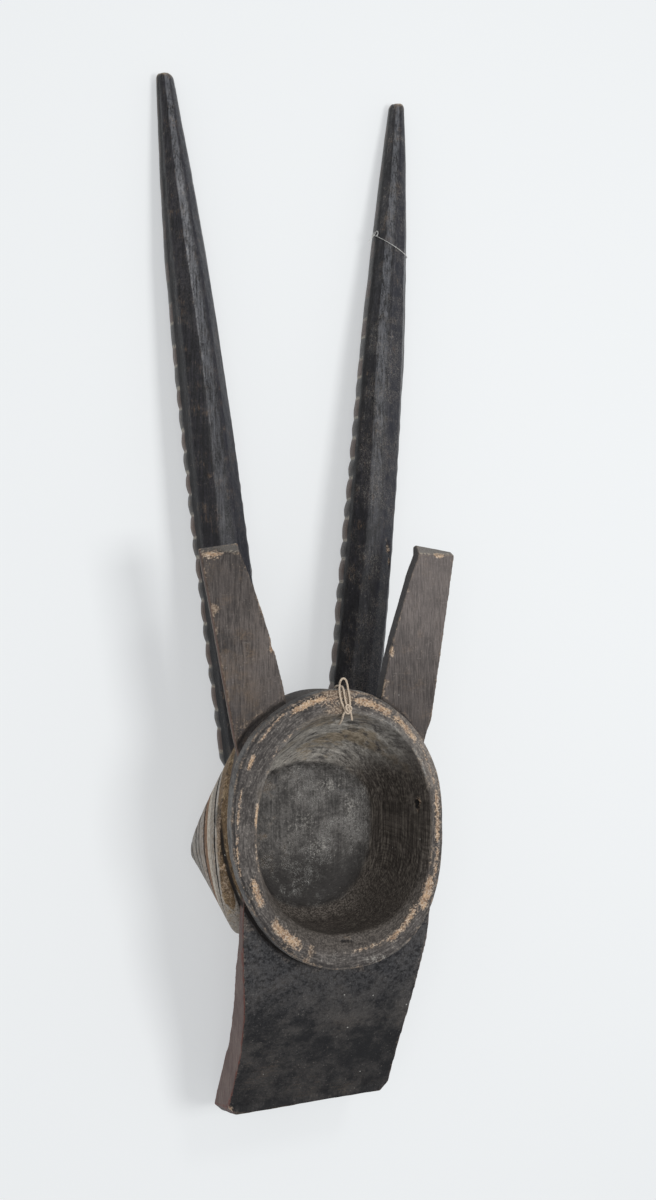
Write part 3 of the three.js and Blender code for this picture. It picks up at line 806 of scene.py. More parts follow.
DENTS = [
    # across, along, depth, radius, how deep
    (94, 20, 23, 3.6, 5), (93.5, 15.5, 23.5, 2.8, 4), (3.5, -112.7, 6, 1.5, 2.0),
    (6.5, -113.1, 5.8, 1.6, 2.4), (10, -113.0, 5.5, 1.5, 2.4), (13.5, -113.6, 5.2, 1.4, 1.8),
    (-24, -284, 178, 6, 5), (24, -284, 178, 6, 5),
]
RIM_RADIUS = 120
BOWL_MIDDLE = 6
GROOVE_DEPTH = 2.2
RUBBED_DEPTH = 0.45
INNER_EASING = 14
EDGE_EASING = 2
FLAT_ON_FLOOR = 0.4


def read(items, name, width, kind=float):
    """Values of every point or edge of a mesh, one row each."""
    values = np.empty(len(items) * width, np.int32 if kind is int else np.float32)
    items.foreach_get(name, values)
    return values.reshape(-1, width).astype(kind)


def nearness(piece, bodies):
    """Millimetres from every point of a piece to the surface of each body."""
    def measure(wire, shape, inputs):
        for label in bodies:
            body = wire.add("GeometryNodeObjectInfo", {0: inputs[label]}, out=4)
            distance = wire.add("GeometryNodeProximity", {0: body}, out=1, target_element="FACES")
            shape = shape.keep(label, distance * 1000)
        return shape
    mesh = grow(piece, bodies, wood, measure).data
    found = {}
    for label in bodies:
        found[label] = read(mesh.attributes[label].data, "value", 1)[:, 0]
        mesh.attributes.remove(mesh.attributes[label])
    return found


def survey(piece, bodies):
    """Distances to bodies, place, normal and edges of the points of a piece, in millimetres."""
    near = nearness(piece, bodies)
    mesh = piece.data
    points = (read(mesh.vertices, "co", 3) - RIM_CENTRE) * (1000, 1000, -1000)
    normals = read(mesh.vertex_normals, "vector", 3) * (1, 1, -1)
    return near, points, normals, read(mesh.edges, "vertices", 2, int)


def scatter(cells, seed):
    """One fixed random number between -1 and 1 for each cell."""
    mixed = (cells.astype(np.int64) * (73856093, 19349663, 83492791)).sum(axis=-1) + seed * 7919
    mixed = (mixed ^ (mixed >> 13)) * 1274126177
    return (mixed ^ (mixed >> 16)) % 65536 / 32768 - 1


def soft_noise(points, seed):
    """Smooth noise between -1 and 1 at points that are given in cells."""
    base = np.floor(points)
    part = points - base
    part = part * part * (3 - 2 * part)
    total = np.zeros(len(points))
    for corner in np.ndindex(2, 2, 2):
        total += np.where(corner, part, 1 - part).prod(axis=1) * scatter(base + corner, seed)
    return total


def tool_cuts(where, points, seed):
    """Round-bottomed cuts side by side, 1 in their middle and 0 on the ridges between them."""
    found = np.zeros(len(points))
    used = where > 0.02
    spots = points[used]
    base = np.floor(spots)
    least = np.full(len(spots), 9.0)
    for corner in np.ndindex(3, 3, 3):
        cell = base + corner - 1
        middle = cell + 0.5 + 0.36 * np.stack([scatter(cell, seed + axis) for axis in range(3)], axis=-1)
        least = np.minimum(least, ((spots - middle) ** 2).sum(axis=1))
    found[used] = (1 - np.clip(least, 0, 1)) * where[used]
    return found


def rise(values, start, end):
    """0 at start and 1 at end, with a smooth rise between them."""
    t = np.clip((values - start) / (end - start), 0, 1)
    return t * t * (3 - 2 * t)


def fall(values, start, end):
    return 1 - rise(values, start, end)


def close_to(near, kind, start, end):
    """1 on the bodies of a kind, such as both ears, and 0 away from them."""
    return fall(np.min([near[name] for name in near if name.startswith(kind)], axis=0), start, end)


def horn_angle(points):
    """Angle round the nearest horn from its smooth back, for points on the carving."""
    across, depth, _ = horn_line(points[:, 1], HORN_SIZES)
    return np.arctan2(np.abs(points[:, 0]) - across, depth - points[:, 2])


def eye_ring(points):
    """Which ring of an eye boss a point lies on, as a share of the boss's radius."""
    side = np.sign(points[:, 0])
    centre, outwards, rearwards = eye_frame(1)
    off = points * np.stack((side, np.ones_like(side), np.ones_like(side)), axis=-1) - centre
    drop = EYE_PUPIL_DROP * np.clip(off @ outwards, 0, None) / EYE_HEIGHT
    over_it, up = off @ rearwards / EYE_HALF_WIDTH, (off[:, 1] + drop) / EYE_HALF_LENGTH
    share = np.hypot(over_it, up)
    return share + EYE_RING_DROP * up / np.maximum(share, 0.05)


def rim_place(points):
    """Share of the rim's radius, and degrees round the rim from its right end."""
    x = points[:, 0] / COLLAR[1][1]
    y = points[:, 1] / np.where(points[:, 1] > 0, COLLAR[1][2], COLLAR[1][3])
    power = np.where((x > 0) & (y < 0), OVAL_POWER_LOW_RIGHT, OVAL_POWER)
    share = (np.abs(x) ** power + np.abs(y) ** power) ** (1 / power)
    return share, np.degrees(np.arctan2(y, x))


def rim_band(share, middle, half, full):
    """A band round the rim, its half width in millimetres."""
    return np.clip(full - np.abs((share - middle) * RIM_RADIUS) / half, 0, 1)


def off_by(points, row):
    """How far points are from the middle of an oval place, as a share of its size."""
    x, y, d, half_x, half_y, half_d, _ = row
    return np.sqrt((((points - (x, y, d)) / (half_x, half_y, half_d)) ** 2).sum(axis=1))


def lying(points, places):
    """How strongly places such as chips or dust lie on each point, from 0 to 1."""
    found = np.zeros(len(points))
    for row in places:
        found = np.maximum(found, np.clip(1 - off_by(points, row), 0, 1) * min(row[-1], 1.3))
    return found


def bare_wood(points):
    """How far each point lies in a chip or a rubbed place."""
    found = lying(points, [(*row[:-1], 1) for row in CHIPS])
    share, turn = rim_place(points)
    flat = fall(points[:, 2], 4, 9)
    for start, end, middle, half, much in RUBBED:
        off = (turn - (start + end) / 2 + 180) % 360 - 180
        along_rim = fall(np.abs(off), (end - start) * 0.3, (end - start) * 0.62)
        rubbed = along_rim * np.clip(1.15 - np.abs(share - middle) / half, 0, 1) * flat * much * 0.8
        found = np.maximum(found, rubbed)
    return found


def neighbours(values, edges):
    """Mean of each point's neighbours along the edges of the mesh."""
    a, b = np.concatenate((edges, edges[:, ::-1])).T
    count = np.maximum(np.bincount(a, minlength=len(values)), 1)
    columns = values.reshape(len(values), -1).T
    means = [np.bincount(a, weights=column[b], minlength=len(values)) / count for column in columns]
    return np.array(means).T.reshape(values.shape)


WORKED = ("horn", "ear", "eye", "hollow")
worked = {name: body for name, body in parts.items() if name.startswith(WORKED)}
near, points, normals, edges = survey(carving, worked)
on_horn, on_ear, on_eye, in_hollow = (close_to(near, kind, 0.8, 2.5) for kind in WORKED)
in_hollow = in_hollow * rise(points[:, 2], 1, 6)
on_eye = on_eye * (1 - in_hollow)
on_rim = fall(np.abs(points[:, 2]), 0.8, 2.2)
plain = 1 - np.clip(on_horn + on_ear + on_eye + in_hollow + on_rim, 0, 1)
angle = np.abs(horn_angle(points))
behind_horn = on_horn * fall(angle, 1.1, 1.3)
rim_share, rim_turn = rim_place(points)
upper = rise(points[:, 1], -10, 40)

# Knife and hand ease the inner corners to small fillets, and take the sharp off the edges.
free = 1 - np.clip(in_hollow + on_eye + on_horn * rise(angle, 1.1, 1.3) + on_rim, 0, 1)
eased = points.copy()
for _ in range(INNER_EASING):
    pull = neighbours(eased, edges) - eased
    inner = rise((pull * normals).sum(axis=1), 0.02, 0.12)
    eased += pull * (0.7 * inner * free)[:, None]
for _ in range(EDGE_EASING):
    eased += (neighbours(eased, edges) - eased) * 0.5
points = np.where(points[:, 2:] > FLOOR_DEPTH - FLAT_ON_FLOOR, points, eased)

shift = 0.5 * soft_noise(points / 46, 1) + 0.25 * soft_noise(points / 17, 2)
shift += 0.12 * soft_noise(points / 6, 3)
shift *= 1 - 0.75 * on_eye
bowl_x, bowl_y = points[:, 0] - BOWL_MIDDLE, points[:, 1]
round_the_bowl = np.column_stack((
    np.arctan2(bowl_y, bowl_x) * 4, np.hypot(bowl_x * 1.2, bowl_y) / 8, points[:, 2] / 10,
))
for deep, where, cells, seed in (
    (0.5, behind_horn, points / (12, 30, 12), 11),
    (0.3, behind_horn, points / (4, 6, 4), 15),
    (0.3, on_ear, points / (16, 42, 16), 21),
    (1.0, in_hollow * upper, round_the_bowl, 31),
    (0.6, in_hollow * (1 - upper), points / (7, 26, 8), 41),
    (0.5, plain, points / (17, 24, 17), 51),
    (0.4, on_rim, points / (9, 9, 9), 61),
):
    shift -= deep * tool_cuts(where, cells, seed)

groove = rim_band(rim_share / rim_swell(rim_turn), 1.015, 3.4, 1) * rise(-normals[:, 2], 0.3, 0.7)
groove *= rise(points[:, 2], 10, 14) * fall(points[:, 2], 46, 60)
shift -= GROOVE_DEPTH * groove
ragged = 0.3 * soft_noise(points / 3, 7)
for row in CHIPS:
    shift -= row[-1] * fall(off_by(points, row) + ragged, 0.55, 1)
shift -= RUBBED_DEPTH * rise(bare_wood(points) + ragged, 0.35, 0.75) * on_rim
for x, y, d, radius, deep in DENTS:
    off = np.linalg.norm(points - (x, y, d), axis=1)
    shift -= deep * fall(off, 0.3 * radius, radius)
shift[FLOOR_DEPTH - points[:, 2] < FLAT_ON_FLOOR] = 0
moved = np.clip(place(points + normals * shift[:, None]), np.array(mask_low), np.array(mask_high))
carving.data.vertices.foreach_set("co", moved.ravel())
carving.data.update()

thin = carving.modifiers.new("thin", "DECIMATE")
thin.ratio = TRIANGLES / (2 * len(carving.data.polygons))
settle(carving)
carving.data.shade_smooth()


# Marks that the finish goes by: where each part of the carving is, how far round a horn
# or an eye boss each point lies, and how worn, hollow, dusty or bare the wood is.
DUST = [
    # across, along, depth, half sizes, how thick the dust lies
    (28, 30, 108, 24, 16, 9, 0.9), (51, 8, 108, 16, 22, 9, 0.8), (16, -36, 108, 22, 20, 9, 0.8),
    (-2, -10, 108, 26, 26, 9, 0.7), (64, 22, 101, 5, 13, 8, 1.3), (66, -6, 103, 3.5, 20, 7, 0.9),
    (-14, 51, 104, 30, 5, 8, 0.8), (14, 64, 92, 22, 5, 9, 0.7), (38, -132, 0, 26, 9, 6, 0.9),
    (-10, -128, 0, 30, 10, 6, 0.5), (-60, -86, 0, 26, 26, 6, 0.6), (20, 112, 30, 50, 14, 30, 0.4),
]
# Degrees round the rim from its right end to the middle of the painted highlight on the inner lip.
LIP_HIGHLIGHT_MIDDLE = 52
EAR_BAND = 17
PROUD_RANGE = 0.45

near, points, normals, edges = survey(carving, parts)
depths = points[:, 2]
around = neighbours(neighbours(points, edges), edges)
proud = neighbours(((points - around) * normals).sum(axis=1), edges)
rim_share, rim_turn = rim_place(points)
edge_share = rim_share / rim_swell(rim_turn)
left_turn = rim_turn % 360
on_ear = close_to(near, "ear", 1.2, 2.2)
ear_back = np.interp(points[:, 1], [row[0] for row in EAR], [row[3] for row in EAR]) + EAR_TILT
ear_side = rise(np.sign(points[:, 0]) * normals[:, 0], 0.5, 0.75) * on_ear
in_hollow = close_to(near, "hollow", 1.2, 2.6) * rise(depths, -1, 2)
lip = fall(near["hollow"] + np.abs(depths), 0.4, 2.2)
pits = [(x, y, d, radius * 1.5, radius * 1.5, radius * 2.5, 1.3) for x, y, d, radius, _ in DENTS]
marks = {
    "horn": close_to(near, "horn", 1.2, 2.2),
    "ear": on_ear,
    "eye": close_to(near, "eye", 1.2, 2.2) * (1 - in_hollow),
    "hollow": in_hollow,
    "muzzle": close_to(near, "muzzle", 1.2, 2.2) * (1 - in_hollow),
    "collar": (
        fall(np.abs(edge_share - 1) * RIM_RADIUS, 2.2, 4) * rise(depths, 0.8, 2.5) * fall(depths, 14, 18)
    ),
    "rim": fall(np.abs(depths), 1.2, 2.8) * (1 - in_hollow),
    "foot": rim_band(edge_share, 1.008, 3.6, 1.3) * rise(depths, 12, 15) * fall(depths, 50, 64),
    "brim": (
        rim_band(edge_share, 0.972, 1.7, 1.2) * fall(depths, 3, 6)
        * rise(left_turn, 80, 100) * fall(left_turn, 268, 290)
    ),
    "lip": lip * fall(np.abs((rim_turn - LIP_HIGHLIGHT_MIDDLE + 180) % 360 - 180), 24, 40),
    "flank": rise(np.abs(normals[:, 0]), 0.55, 0.8),
    "ear_side": ear_side * np.clip((depths - ear_back) / EAR_BAND, 0.02, 1),
    "horn_turn": horn_angle(points) * np.sign(points[:, 0]),
    "eye_ring": eye_ring(points),
    "proud": np.clip(proud / PROUD_RANGE, -1, 1),
    "bare": bare_wood(points),
    "dust": lying(points, DUST),
    "pit": lying(points, pits),
}
for label, values in marks.items():
    stored = carving.data.attributes.new(label, "FLOAT", "POINT")
    stored.data.foreach_set("value", values.astype(np.float32))
for body in (*parts.values(), mouth, hole, below):
    bpy.data.objects.remove(body)


# The finish of the wood: stained nearly black, rubbed and dusty where it is handled,
# with red, white and black earth paint on the face, the ribs and the eyes, and with
# light and shade painted in at some places.
wire = Wire(wood.node_tree)
spot = wire.add("ShaderNodeTexCoord", out=3)
x, y, z = spot.axes()
across = (x - float(RIM_CENTRE[0])) * 1000
along = (y - float(RIM_CENTRE[1])) * 1000
depth = (float(RIM_CENTRE[2]) - z) * 1000
leftwards = across * -1
down = along * -1
on = {label: wire.mark(label) for label in marks}


def coats(under, **laid):
    """Coats of stain, paint or dust, each with its share, laid over a colour one by one."""
    for colour, share in laid.values():
        under = over(under, colour, share)
    return under


# Grain along the log, marks of rasp, scraper and gouge, and blotches from large to fine.
grain = spot.stretched(520, 26, 520).noise(1.0, 4.0, 0.6)
fine_grain = spot.stretched(1500, 70, 1500).noise(1.0, 3.0, 0.6)
rasp = spot.stretched(420, 260, 420).noise(1.0, 3.0, 0.6, 2.2)
scrape = spot.stretched(60, 640, 60).noise(1.0, 3.0, 0.6, 0.6)
# Thin squiggly lines: scratches, and on the horns painted glints as well.
squiggle = spot.stretched(260, 150, 260).noise(1.0, 2.0, 0.5, 3.0)
scratch_and_glint_lines = 1 - abs(squiggle - 0.5).fade(0.008, 0.035)
drops = wire.add("ShaderNodeTexVoronoi", {"Vector": spot, "Scale": 46.0})
mottle = spot.noise(22.0, 4.0, 0.6)
blotch = spot.noise(60.0, 4.0, 0.65)
fleck = spot.noise(260.0, 4.0, 0.75)
speck = spot.noise(520.0, 3.0, 0.7)
from_middle = across - BOWL_MIDDLE
reach = (from_middle * from_middle * 1.3 + along * along + 1) ** 0.5
round_x, round_y = from_middle / reach, along / reach
gouge_spot = wire.vector(round_x * 5.5, round_y * 5.5, reach * 0.55 + depth * 0.16)
gouge = gouge_spot.noise(1.0, 4.0, 0.65)
fine_gouge = gouge_spot.noise(3.4, 3.0, 0.7)
rim_spot = wire.vector(round_x * 9, round_y * 9, reach * 0.4 + depth * 0.4)
rim_lines = rim_spot.noise(1.0, 4.0, 0.7)
fine_rim = rim_spot.noise(2.6, 3.0, 0.7)
wall_lines = wire.vector(across * 0.6, along * 0.012, depth * 0.75).noise(1.0, 4.0, 0.65)
patches = mottle * 0.5 + blotch * 0.5
worn_spots = blotch * 0.6 + speck * 0.4

# Stain by place: head and rim, ears, horns, muzzle, with painted light on the collar,
# painted shade at the ear roots, and painted highlights and shade on the horns.
stain = coats(
    over((54, 49, 47), (86, 79, 74), mottle.fade(0.36, 0.64)),
    brown=((96, 80, 66), blotch.fade(0.54, 0.7) * 0.45),
)
# The collar's side is painted pale grey: painted light on a side that lies in shade.
collar_painted_light = over((78, 76, 76), (124, 123, 121), blotch.fade(0.35, 0.6))
rim_stain = coats(
    over((60, 56, 54), (104, 99, 95), (fleck * 0.25 + rim_lines * 0.5 + blotch * 0.25).fade(0.4, 0.62)),
    worn_lines=((146, 139, 131), (speck * 0.5 + rim_lines * 0.5).fade(0.54, 0.68) * 0.75),
    upper_right=((150, 142, 134), across.fade(40.0, 80.0) * along.fade(10.0, 50.0) * (0.2 + fleck * 0.5)),
)

side = on["ear_side"] + (blotch - 0.5) * 0.06
edge_paint = wire.add("ShaderNodeValToRGB", {0: side}, stops=[
    (0, (110, 88, 72)), (0.14, (60, 44, 38)), (0.26, (112, 72, 56)), (0.5, (78, 50, 42)),
    (0.64, (48, 40, 38)), (0.76, (136, 124, 112)), (0.95, (104, 92, 82)),
])
ear_grain = (mottle * 0.45 + fine_grain * 0.2 + grain * 0.35).fade(0.4, 0.6)
top_edge = 1 - abs(along - 278.5 + (fleck - 0.5) * 4).fade(0.4, 1.4)
ear_stain_and_shade = coats(
    over((48, 43, 41), (98, 90, 86), ear_grain),
    brown=((112, 94, 76), worn_spots.fade(0.52, 0.68) * 0.45),
    scraped=((136, 130, 124), (scrape * 0.6 + speck * 0.4).fade(0.58, 0.7) * 0.5),
    scratched=((140, 136, 130), scratch_and_glint_lines * (mottle - 0.3) * 0.7),
    right_side=(
        (126, 118, 115),
        across.fade(-20.0, 40.0) * (along.fade(110.0, 240.0) * 0.35 + (fine_grain - 0.3) * 0.3),
    ),
    # Darker towards the root, where the ear meets the head: painted shade.
    dark_root=((54, 49, 48), (1 - along.fade(90.0, 190.0)) * (0.2 + mottle * 0.4)),
    top_bevel=((122, 119, 114), along.fade(277.5, 280.0) * (0.4 + fine_grain * 0.5)),
    bare_edge=((172, 162, 148), top_edge * speck.fade(0.45, 0.55) * 0.7),
    narrow_sides=((66, 65, 66), on["flank"] * 0.8),
    painted_sides=(edge_paint, on["ear_side"].fade(0.0, 0.04)),
    left_top=(
        (50, 45, 43),
        (1 - across.fade(-60.0, 0.0)) * along.fade(190.0, 260.0) * mottle.fade(0.35, 0.6) * 0.5,
    ),
    left_root=(
        (112, 92, 70),
        (1 - along.fade(150.0, 230.0)) * (1 - across.fade(-120.0, -60.0)) * patches.fade(0.44, 0.6) * 0.4,
    ),
)

side_sign = wire.math("SIGN", across)
wander = wire.math("SINE", along * HORN_SIZES["Wander rate"] + side_sign) * HORN_SIZES["Wander"]
turn = on["horn_turn"] + wander + (side_sign + 1) * 0.155 + (blotch - 0.5) * 0.1
# The band round each horn's back where the highlight falls, brighter towards the tips.
polished = turn.fade(-0.26, -0.2) * (1 - turn.fade(0.1, 0.34))
high = along.fade(220.0, 640.0)
horn_grain = mottle * 0.2 + rasp * 0.3 + grain * 0.5
cut_tip = (along + (fleck - 0.5) * 9 + (blotch - 0.5) * 6).fade(798.5, 801.5)
horn_stain_and_shading = coats(
    over((18, 17, 20), (38, 36, 42), horn_grain.fade(0.42, 0.6)),
    # A painted highlight along that band.
    polished_band=((112, 114, 119), polished * (0.1 + high * 0.6) * horn_grain.fade(0.38, 0.6)),
    # Bluish black on the facets turned to the right: painted shade with a bluish reflection.
    blue_black=((36, 37, 46), turn.fade(0.2, 0.4) * 0.7),
    # Pale squiggles on the horns, stronger on the right one: scratches and painted glints.
    scratched=((122, 118, 112), scratch_and_glint_lines * patches.fade(0.42, 0.56) * (0.55 + side_sign * 0.25)),
    brown=(
        (104, 84, 66),
        (fine_grain * 0.5 + blotch * 0.5).fade(0.55, 0.66) * (0.35 + turn.fade(-0.1, -0.4) * 0.3),
    ),
    front=((19, 18, 20), abs(on["horn_turn"]).fade(0.95, 1.15) * 0.8),
    cut_tip=((164, 146, 118), cut_tip * 0.8),
)

flank_paint = over((92, 72, 68), (116, 100, 94), (grain * 0.5 + mottle * 0.5).fade(0.4, 0.62))
muzzle_stain = coats(
    over((19, 19, 22), (70, 67, 65), (mottle * 0.4 + blotch * 0.35 + fleck * 0.25).fade(0.42, 0.62)),
    brown_end=(
        (92, 78, 64),
        (mottle * 0.45 + scrape * 0.35 + speck * 0.2).fade(0.54, 0.66) * down.fade(170.0, 280.0) * 0.55,
    ),
    scratched=((96, 94, 92), scratch_and_glint_lines * (blotch - 0.35) * 0.8),
    brown=((74, 64, 56), worn_spots.fade(0.58, 0.72) * 0.55),
    grey_top=((78, 78, 80), (1 - down.fade(130.0, 220.0)) * fleck.fade(0.38, 0.58) * 0.6),
    dark_end=((24, 23, 25), down.fade(190.0, 280.0) * 0.35),
    red_flanks=(flank_paint, on["flank"]),
)

# The hollow: gouged olive brown upper wall, painted paler where it faces the light and
# darker at its right end as painted shade; dark side and lower walls, the left wall painted
# lighter as painted light; dusty floor with a painted shadow at its far end.
# The upper wall: pale gouged wood, made paler still as painted light where it faces the lamps.
upper_wall = coats(
    over((146, 142, 136), (190, 185, 176), (gouge * 0.5 + fleck * 0.3 + blotch * 0.2).fade(0.4, 0.62)),
    olive=((150, 130, 98), (gouge * 0.3 + mottle * 0.7).fade(0.5, 0.6) * 0.6),
    cut_lines=((80, 77, 76), (1 - (gouge * 0.8 + speck * 0.2).fade(0.36, 0.47)) * 0.8),
    mouth=((92, 89, 87), (1 - (depth + (gouge - 0.5) * 50).fade(8.0, 32.0)) * 0.6),
    # Darker towards the right end: painted shade.
    right_end=((78, 73, 69), (across + (mottle - 0.5) * 60).fade(46.0, 84.0) * 0.6),
)
side_wall = coats(
    over((64, 58, 54), (116, 109, 101), wall_lines.fade(0.42, 0.62)),
    # Lighter on the left wall, which faces the lamps: painted light.
    left_wall=((112, 105, 99), leftwards.fade(20.0, 80.0) * 0.7),
)
floor_mix = mottle * 0.25 + blotch * 0.25 + fleck * 0.25 + grain * 0.25
floor_stain_and_shadow = coats(
    over((58, 56, 54), (106, 103, 100), floor_mix.fade(0.4, 0.58)),
    brown_left=((96, 78, 56), (blotch * 0.6 + mottle * 0.4).fade(0.5, 0.64) * leftwards.fade(0.0, 60.0)),
    # Darker towards the far end, under the lower wall: painted shadow.
    dark_end=((42, 39, 37), (down + (mottle - 0.5) * 60).fade(16.0, 70.0) * 0.9),
    scratched=((168, 167, 163), scratch_and_glint_lines * patches.fade(0.48, 0.58) * 0.75),
)
lower_lip = over((66, 61, 57), (96, 90, 84), wall_lines.fade(0.4, 0.6))
hollow_stain_and_shading = coats(
    side_wall,
    upper_wall=(upper_wall, (along + (mottle - 0.5) * 50 - across * 0.25).fade(18.0, 62.0)),
    floor=(floor_stain_and_shadow, depth.fade(98.5, 104.0)),
    lower_lip=(lower_lip, (1 - depth.fade(9.0, 14.0)) * down.fade(30.0, 70.0)),
)

# Earth paint on the ribs: red and black blocks by turns, with white in the notches.
waver = wire.math("SINE", along * HORN_SIZES["Waver rate"]) * HORN_SIZES["Waver"]
rib = (along - HORN_SIZES["First rib"] + waver) / HORN_SIZES["Rib pitch"]
notch_off = abs(rib - wire.math("ROUND", rib)) * HORN_SIZES["Rib pitch"]
white_notch = (1 - notch_off.fade(0.9, 2.6)) * (1 - along.fade(520.0, 600.0)) * fleck.fade(0.4, 0.54)
rib_paint = coats(
    over((70, 68, 67), (92, 76, 69), (rib % 2 - 1).fade(-0.02, 0.02)),
    dirt=((46, 43, 42), (blotch * 0.5 + fleck * 0.5).fade(0.5, 0.64) * 0.6),
    white=((170, 162, 144), white_notch * 0.65),
)
ribbed = on["horn"] * abs(on["horn_turn"]).fade(1.3, 1.36) * (1 - along.fade(480.0, 700.0) * 0.65)

# The rings of the eye bosses, from the pupil to the edge.
ring = on["eye_ring"] + (mottle - 0.5) * 0.014 + (fleck - 0.5) * 0.012
outer_ring = ring.fade(0.9, 0.94)
ring_paint = coats(
    wire.add("ShaderNodeValToRGB", {0: ring}, stepped=True, stops=[
        (0.0, (46, 44, 43)), (0.08, (140, 136, 130)), (0.18, (46, 44, 42)), (0.215, (152, 148, 142)),
        (0.345, (52, 46, 42)), (0.375, (150, 145, 139)), (0.452, (98, 92, 86)), (0.476, (162, 154, 146)),
        (0.588, (62, 48, 40)), (0.622, (138, 106, 82)), (0.7, (196, 187, 173)), (0.77, (164, 156, 146)),
        (0.842, (38, 34, 32)), (0.872, (180, 173, 164)), (0.935, (124, 102, 76)),
    ]),
    ochre_edge=((176, 154, 122), outer_ring * (blotch * 0.5 + fleck * 0.5).fade(0.5, 0.6) * 0.85),
    worn_edge=((70, 60, 50), outer_ring * (1 - (grain * 0.5 + fleck * 0.5).fade(0.4, 0.5)) * 0.8),
    dirt=((72, 62, 54), (fleck * 0.6 + grain * 0.4).fade(0.5, 0.64) * 0.65),
)

# Dirt and painted shade in the hollows of the carving, painted shade in the groove round
# the foot of the rim and in the pits, a painted highlight on the inner lip, dust and bare
# wood on its edges, then the streaks of fine grain over all of it.
# Near black in the groove round the foot of the rim, less on its upper half: painted shade.
painted_groove_shade = (on["foot"] + (fleck - 0.5) * 0.3).fade(0.6, 0.95) * (0.85 - along.fade(-20.0, 60.0) * 0.55)
pale_drops = 1 - (drops + (speck - 0.5) * 0.09).fade(0.02, 0.05)
pale_drops = pale_drops * blotch.fade(0.46, 0.52) * (1 - on["horn"])
dusty = on["dust"] * 0.8 + (speck - 0.5) * 1.6 + (fleck - 0.5) * 1.2 + (grain - 0.5) * 0.9
dusty = dusty.fade(0.42, 0.95)
rubbed_edge = (on["proud"] + (fleck - 0.5) * 1.3).fade(0.42, 0.8)
rubbed_edge = rubbed_edge * (1 - 0.6 * on["horn"]) * (1 - 0.75 * on["muzzle"])
rubbed_edge = rubbed_edge * (0.65 - on["ear"] * blotch.fade(0.56, 0.46) * 0.5)
red_edge = on["proud"].fade(0.25, 0.6) * on["muzzle"] * on["flank"].fade(0.1, 0.5)
raw = on["bare"] * 1.15 + (fleck - 0.5) * 1.6 + (speck - 0.5) * 0.6 + (fine_rim - 0.5) * 0.9
raw = raw.fade(0.38, 0.74)
raw_wood = coats(
    over((206, 174, 140), (146, 118, 95), (rim_lines * 0.4 + fleck * 0.3 + blotch * 0.3).fade(0.44, 0.56)),
    pale=((230, 214, 194), speck.fade(0.48, 0.62) * 0.7),
    stained_pores=((72, 58, 48), (speck * 0.4 + fine_rim * 0.6).fade(0.52, 0.62) * 0.8),
)
colour = coats(
    stain,
    rim=(rim_stain, on["rim"]),
    # Palest near the rim's top edge: a painted highlight on the rounded edge.
    collar=(collar_painted_light, on["collar"] * (1 - depth.fade(3.0, 12.0) * 0.25) * 0.9),
    ears=(ear_stain_and_shade, on["ear"]),
    horns=(horn_stain_and_shading, on["horn"]),
    muzzle=(muzzle_stain, on["muzzle"] * (1 - on["collar"]) * (1 - on["rim"])),
    hollow=(hollow_stain_and_shading, on["hollow"]),
    ribs=(rib_paint, ribbed),
    eyes=(ring_paint, on["eye"]),
    # Darker in concave places: dirt, and painted shade in the creases.
    dirt=((28, 24, 22), (on["proud"] * -1).fade(0.2, 0.85) * 0.7),
    groove=((26, 22, 20), painted_groove_shade),
    brim=((34, 32, 32), (on["brim"] + (rim_lines - 0.5) * 1.2).fade(0.4, 0.8) * 0.75),
    specks=((148, 143, 136), speck.fade(0.66, 0.74) * (1 - on["horn"] * 0.7) * 0.5),
    drops=((206, 204, 198), pale_drops * 0.85),
    dust=((168, 165, 158), dusty * 0.62),
    # A painted highlight on the inner lip of the rim.
    lip=((150, 149, 145), (on["lip"] + (fleck - 0.5) * 0.9).fade(0.5, 0.95) * 0.6),
    edges=(over((128, 106, 86), (176, 158, 138), speck.fade(0.45, 0.6)), rubbed_edge),
    red_edges=((104, 54, 46), red_edge * (0.3 + fleck.fade(0.4, 0.56) * 0.6)),
    # Near black in the dents, the slit and the holes: painted shade.
    pits=((18, 15, 14), on["pit"].fade(0.2, 0.7)),
    bare_wood=(raw_wood, raw * 0.92),
)
crisp = fine_grain + (fine_gouge - fine_grain) * on["hollow"]
crisp = crisp + (fine_rim - crisp) * on["rim"]
crisp = (crisp * 0.75 + speck * 0.25).fade(0.4, 0.6)
streak = over((0.64, 0.63, 0.62, 1), (1.25, 1.25, 1.25, 1), crisp)
streaked = 1 - on["horn"] * 0.5 - on["ear"] * 0.55 - on["muzzle"] * 0.35 * (1 - on["rim"])
colour = over(colour, streak, streaked, "MULTIPLY")

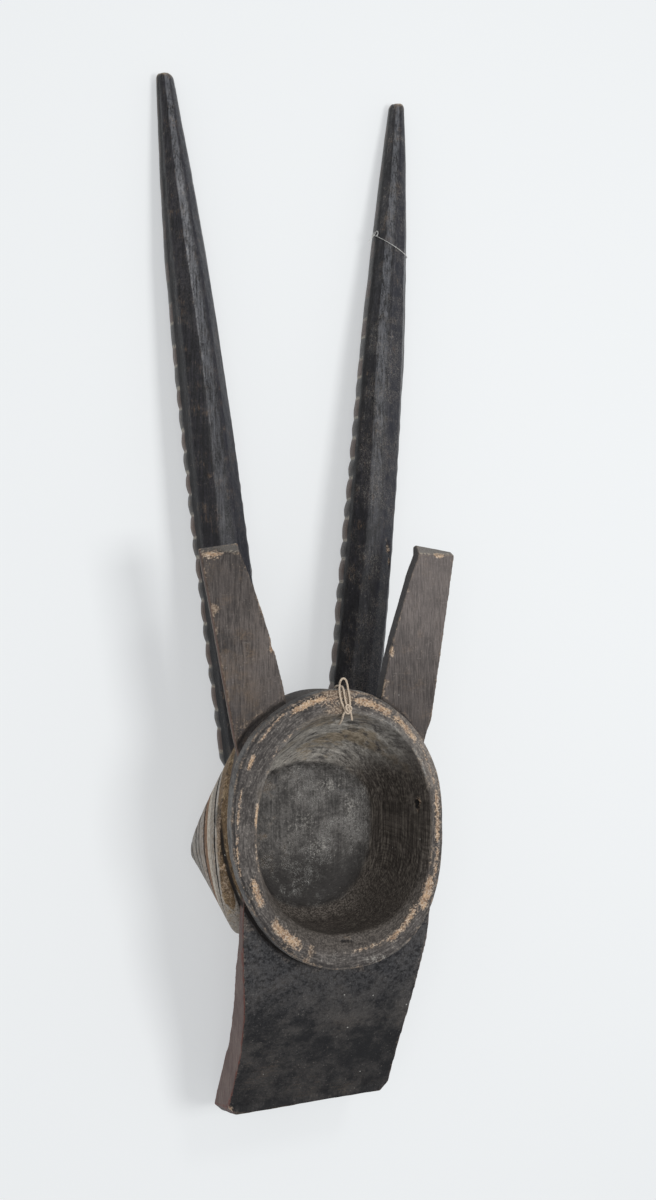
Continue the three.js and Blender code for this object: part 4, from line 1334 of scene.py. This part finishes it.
roughness = 0.64 + (mottle - 0.5) * 0.25 + fleck * 0.12 - on["horn"] * 0.24 + raw * 0.12 + on["eye"] * 0.1
relief = grain * 0.45 + fine_grain * 0.3 + fleck * 0.4 + speck * 0.2
relief = relief * (0.6 + on["hollow"] * 0.5 + on["rim"] * 0.6)
relief = relief + gouge * on["hollow"] * 0.9 + rasp * on["horn"] * 1.1 + dusty * 0.15
shine = 0.05 + polished * high * 0.8 + along.fade(250.0, 600.0) * 0.35
coat = on["horn"] * (1 - raw) * shine * (rasp * 0.5 + grain * 0.5).fade(0.34, 0.62)
changing = {"Base Color": colour, "Roughness": roughness, "Coat Weight": coat}
wear(wood_shader, changing, height=relief, distance=0.0008, strength=0.6)
carving.data.materials.clear()
carving.data.materials.append(wood)

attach(carving, "root")
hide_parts("mask")


# The thread: thin and pale, tied once round the right horn and slanting over its
# back, with a small knot and a short end. The horn holds it all the way.
THREAD_DIAMETER = 0.95
THREAD_LEVEL = 633.3
THREAD_SWING = 11.5
THREAD_DIP = 6.5
THREAD_STEPS = 120
THREAD_KNOT_LEVEL = 645
THREAD_KNOT_STEPS = 30
THREAD_END = [0, 1.5, 3.2, 5, 7, 9]
thread_sizes = {"Width": THREAD_DIAMETER / 1000, "Pitch": 0.003, "Strands": 2.0, "Slack": 0.25}


def horn_skin(level, angle, off):
    """A place over the right horn's skin at a level and an angle from its back."""
    across, depth, width = horn_line(level, HORN_SIZES)
    across += (width * (1 - HORN_SIZES["Uneven"]) / 2 + off) * math.sin(angle)
    depth -= ((width + HORN_SIZES["Extra depth"]) / 2 + off) * math.cos(angle)
    return (across, level, depth)


thread = spun_thread("thread", light=(252, 252, 248), dark=(222, 220, 214), fibre_pitch=0.0005)
loop = [
    horn_skin(THREAD_LEVEL - THREAD_SWING * math.sin(turn) - THREAD_DIP * math.cos(turn), turn, 0.2)
    for turn in math.tau * np.arange(THREAD_STEPS) / THREAD_STEPS
]
small_knot = [
    horn_skin(
        THREAD_KNOT_LEVEL + 2.6 * math.sin(2 * turn), -1.3 + 0.2 * math.cos(turn), 1.3 + 0.7 * math.sin(turn),
    )
    for turn in math.tau * np.arange(THREAD_KNOT_STEPS) / THREAD_KNOT_STEPS
]
short_end = [
    horn_skin(THREAD_KNOT_LEVEL - drop, -1.4 - 0.02 * drop, 1.0 + 0.5 * drop) for drop in THREAD_END
]
horn_thread = spin_cord("horn_thread", loop, thread_sizes, thread, closed=True)
join(
    horn_thread,
    spin_cord("thread_knot", small_knot, thread_sizes, thread, closed=True),
    spin_cord("thread_end", along_route(short_end, step=0.5), thread_sizes, thread),
)
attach(horn_thread, "root")
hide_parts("horn_thread")
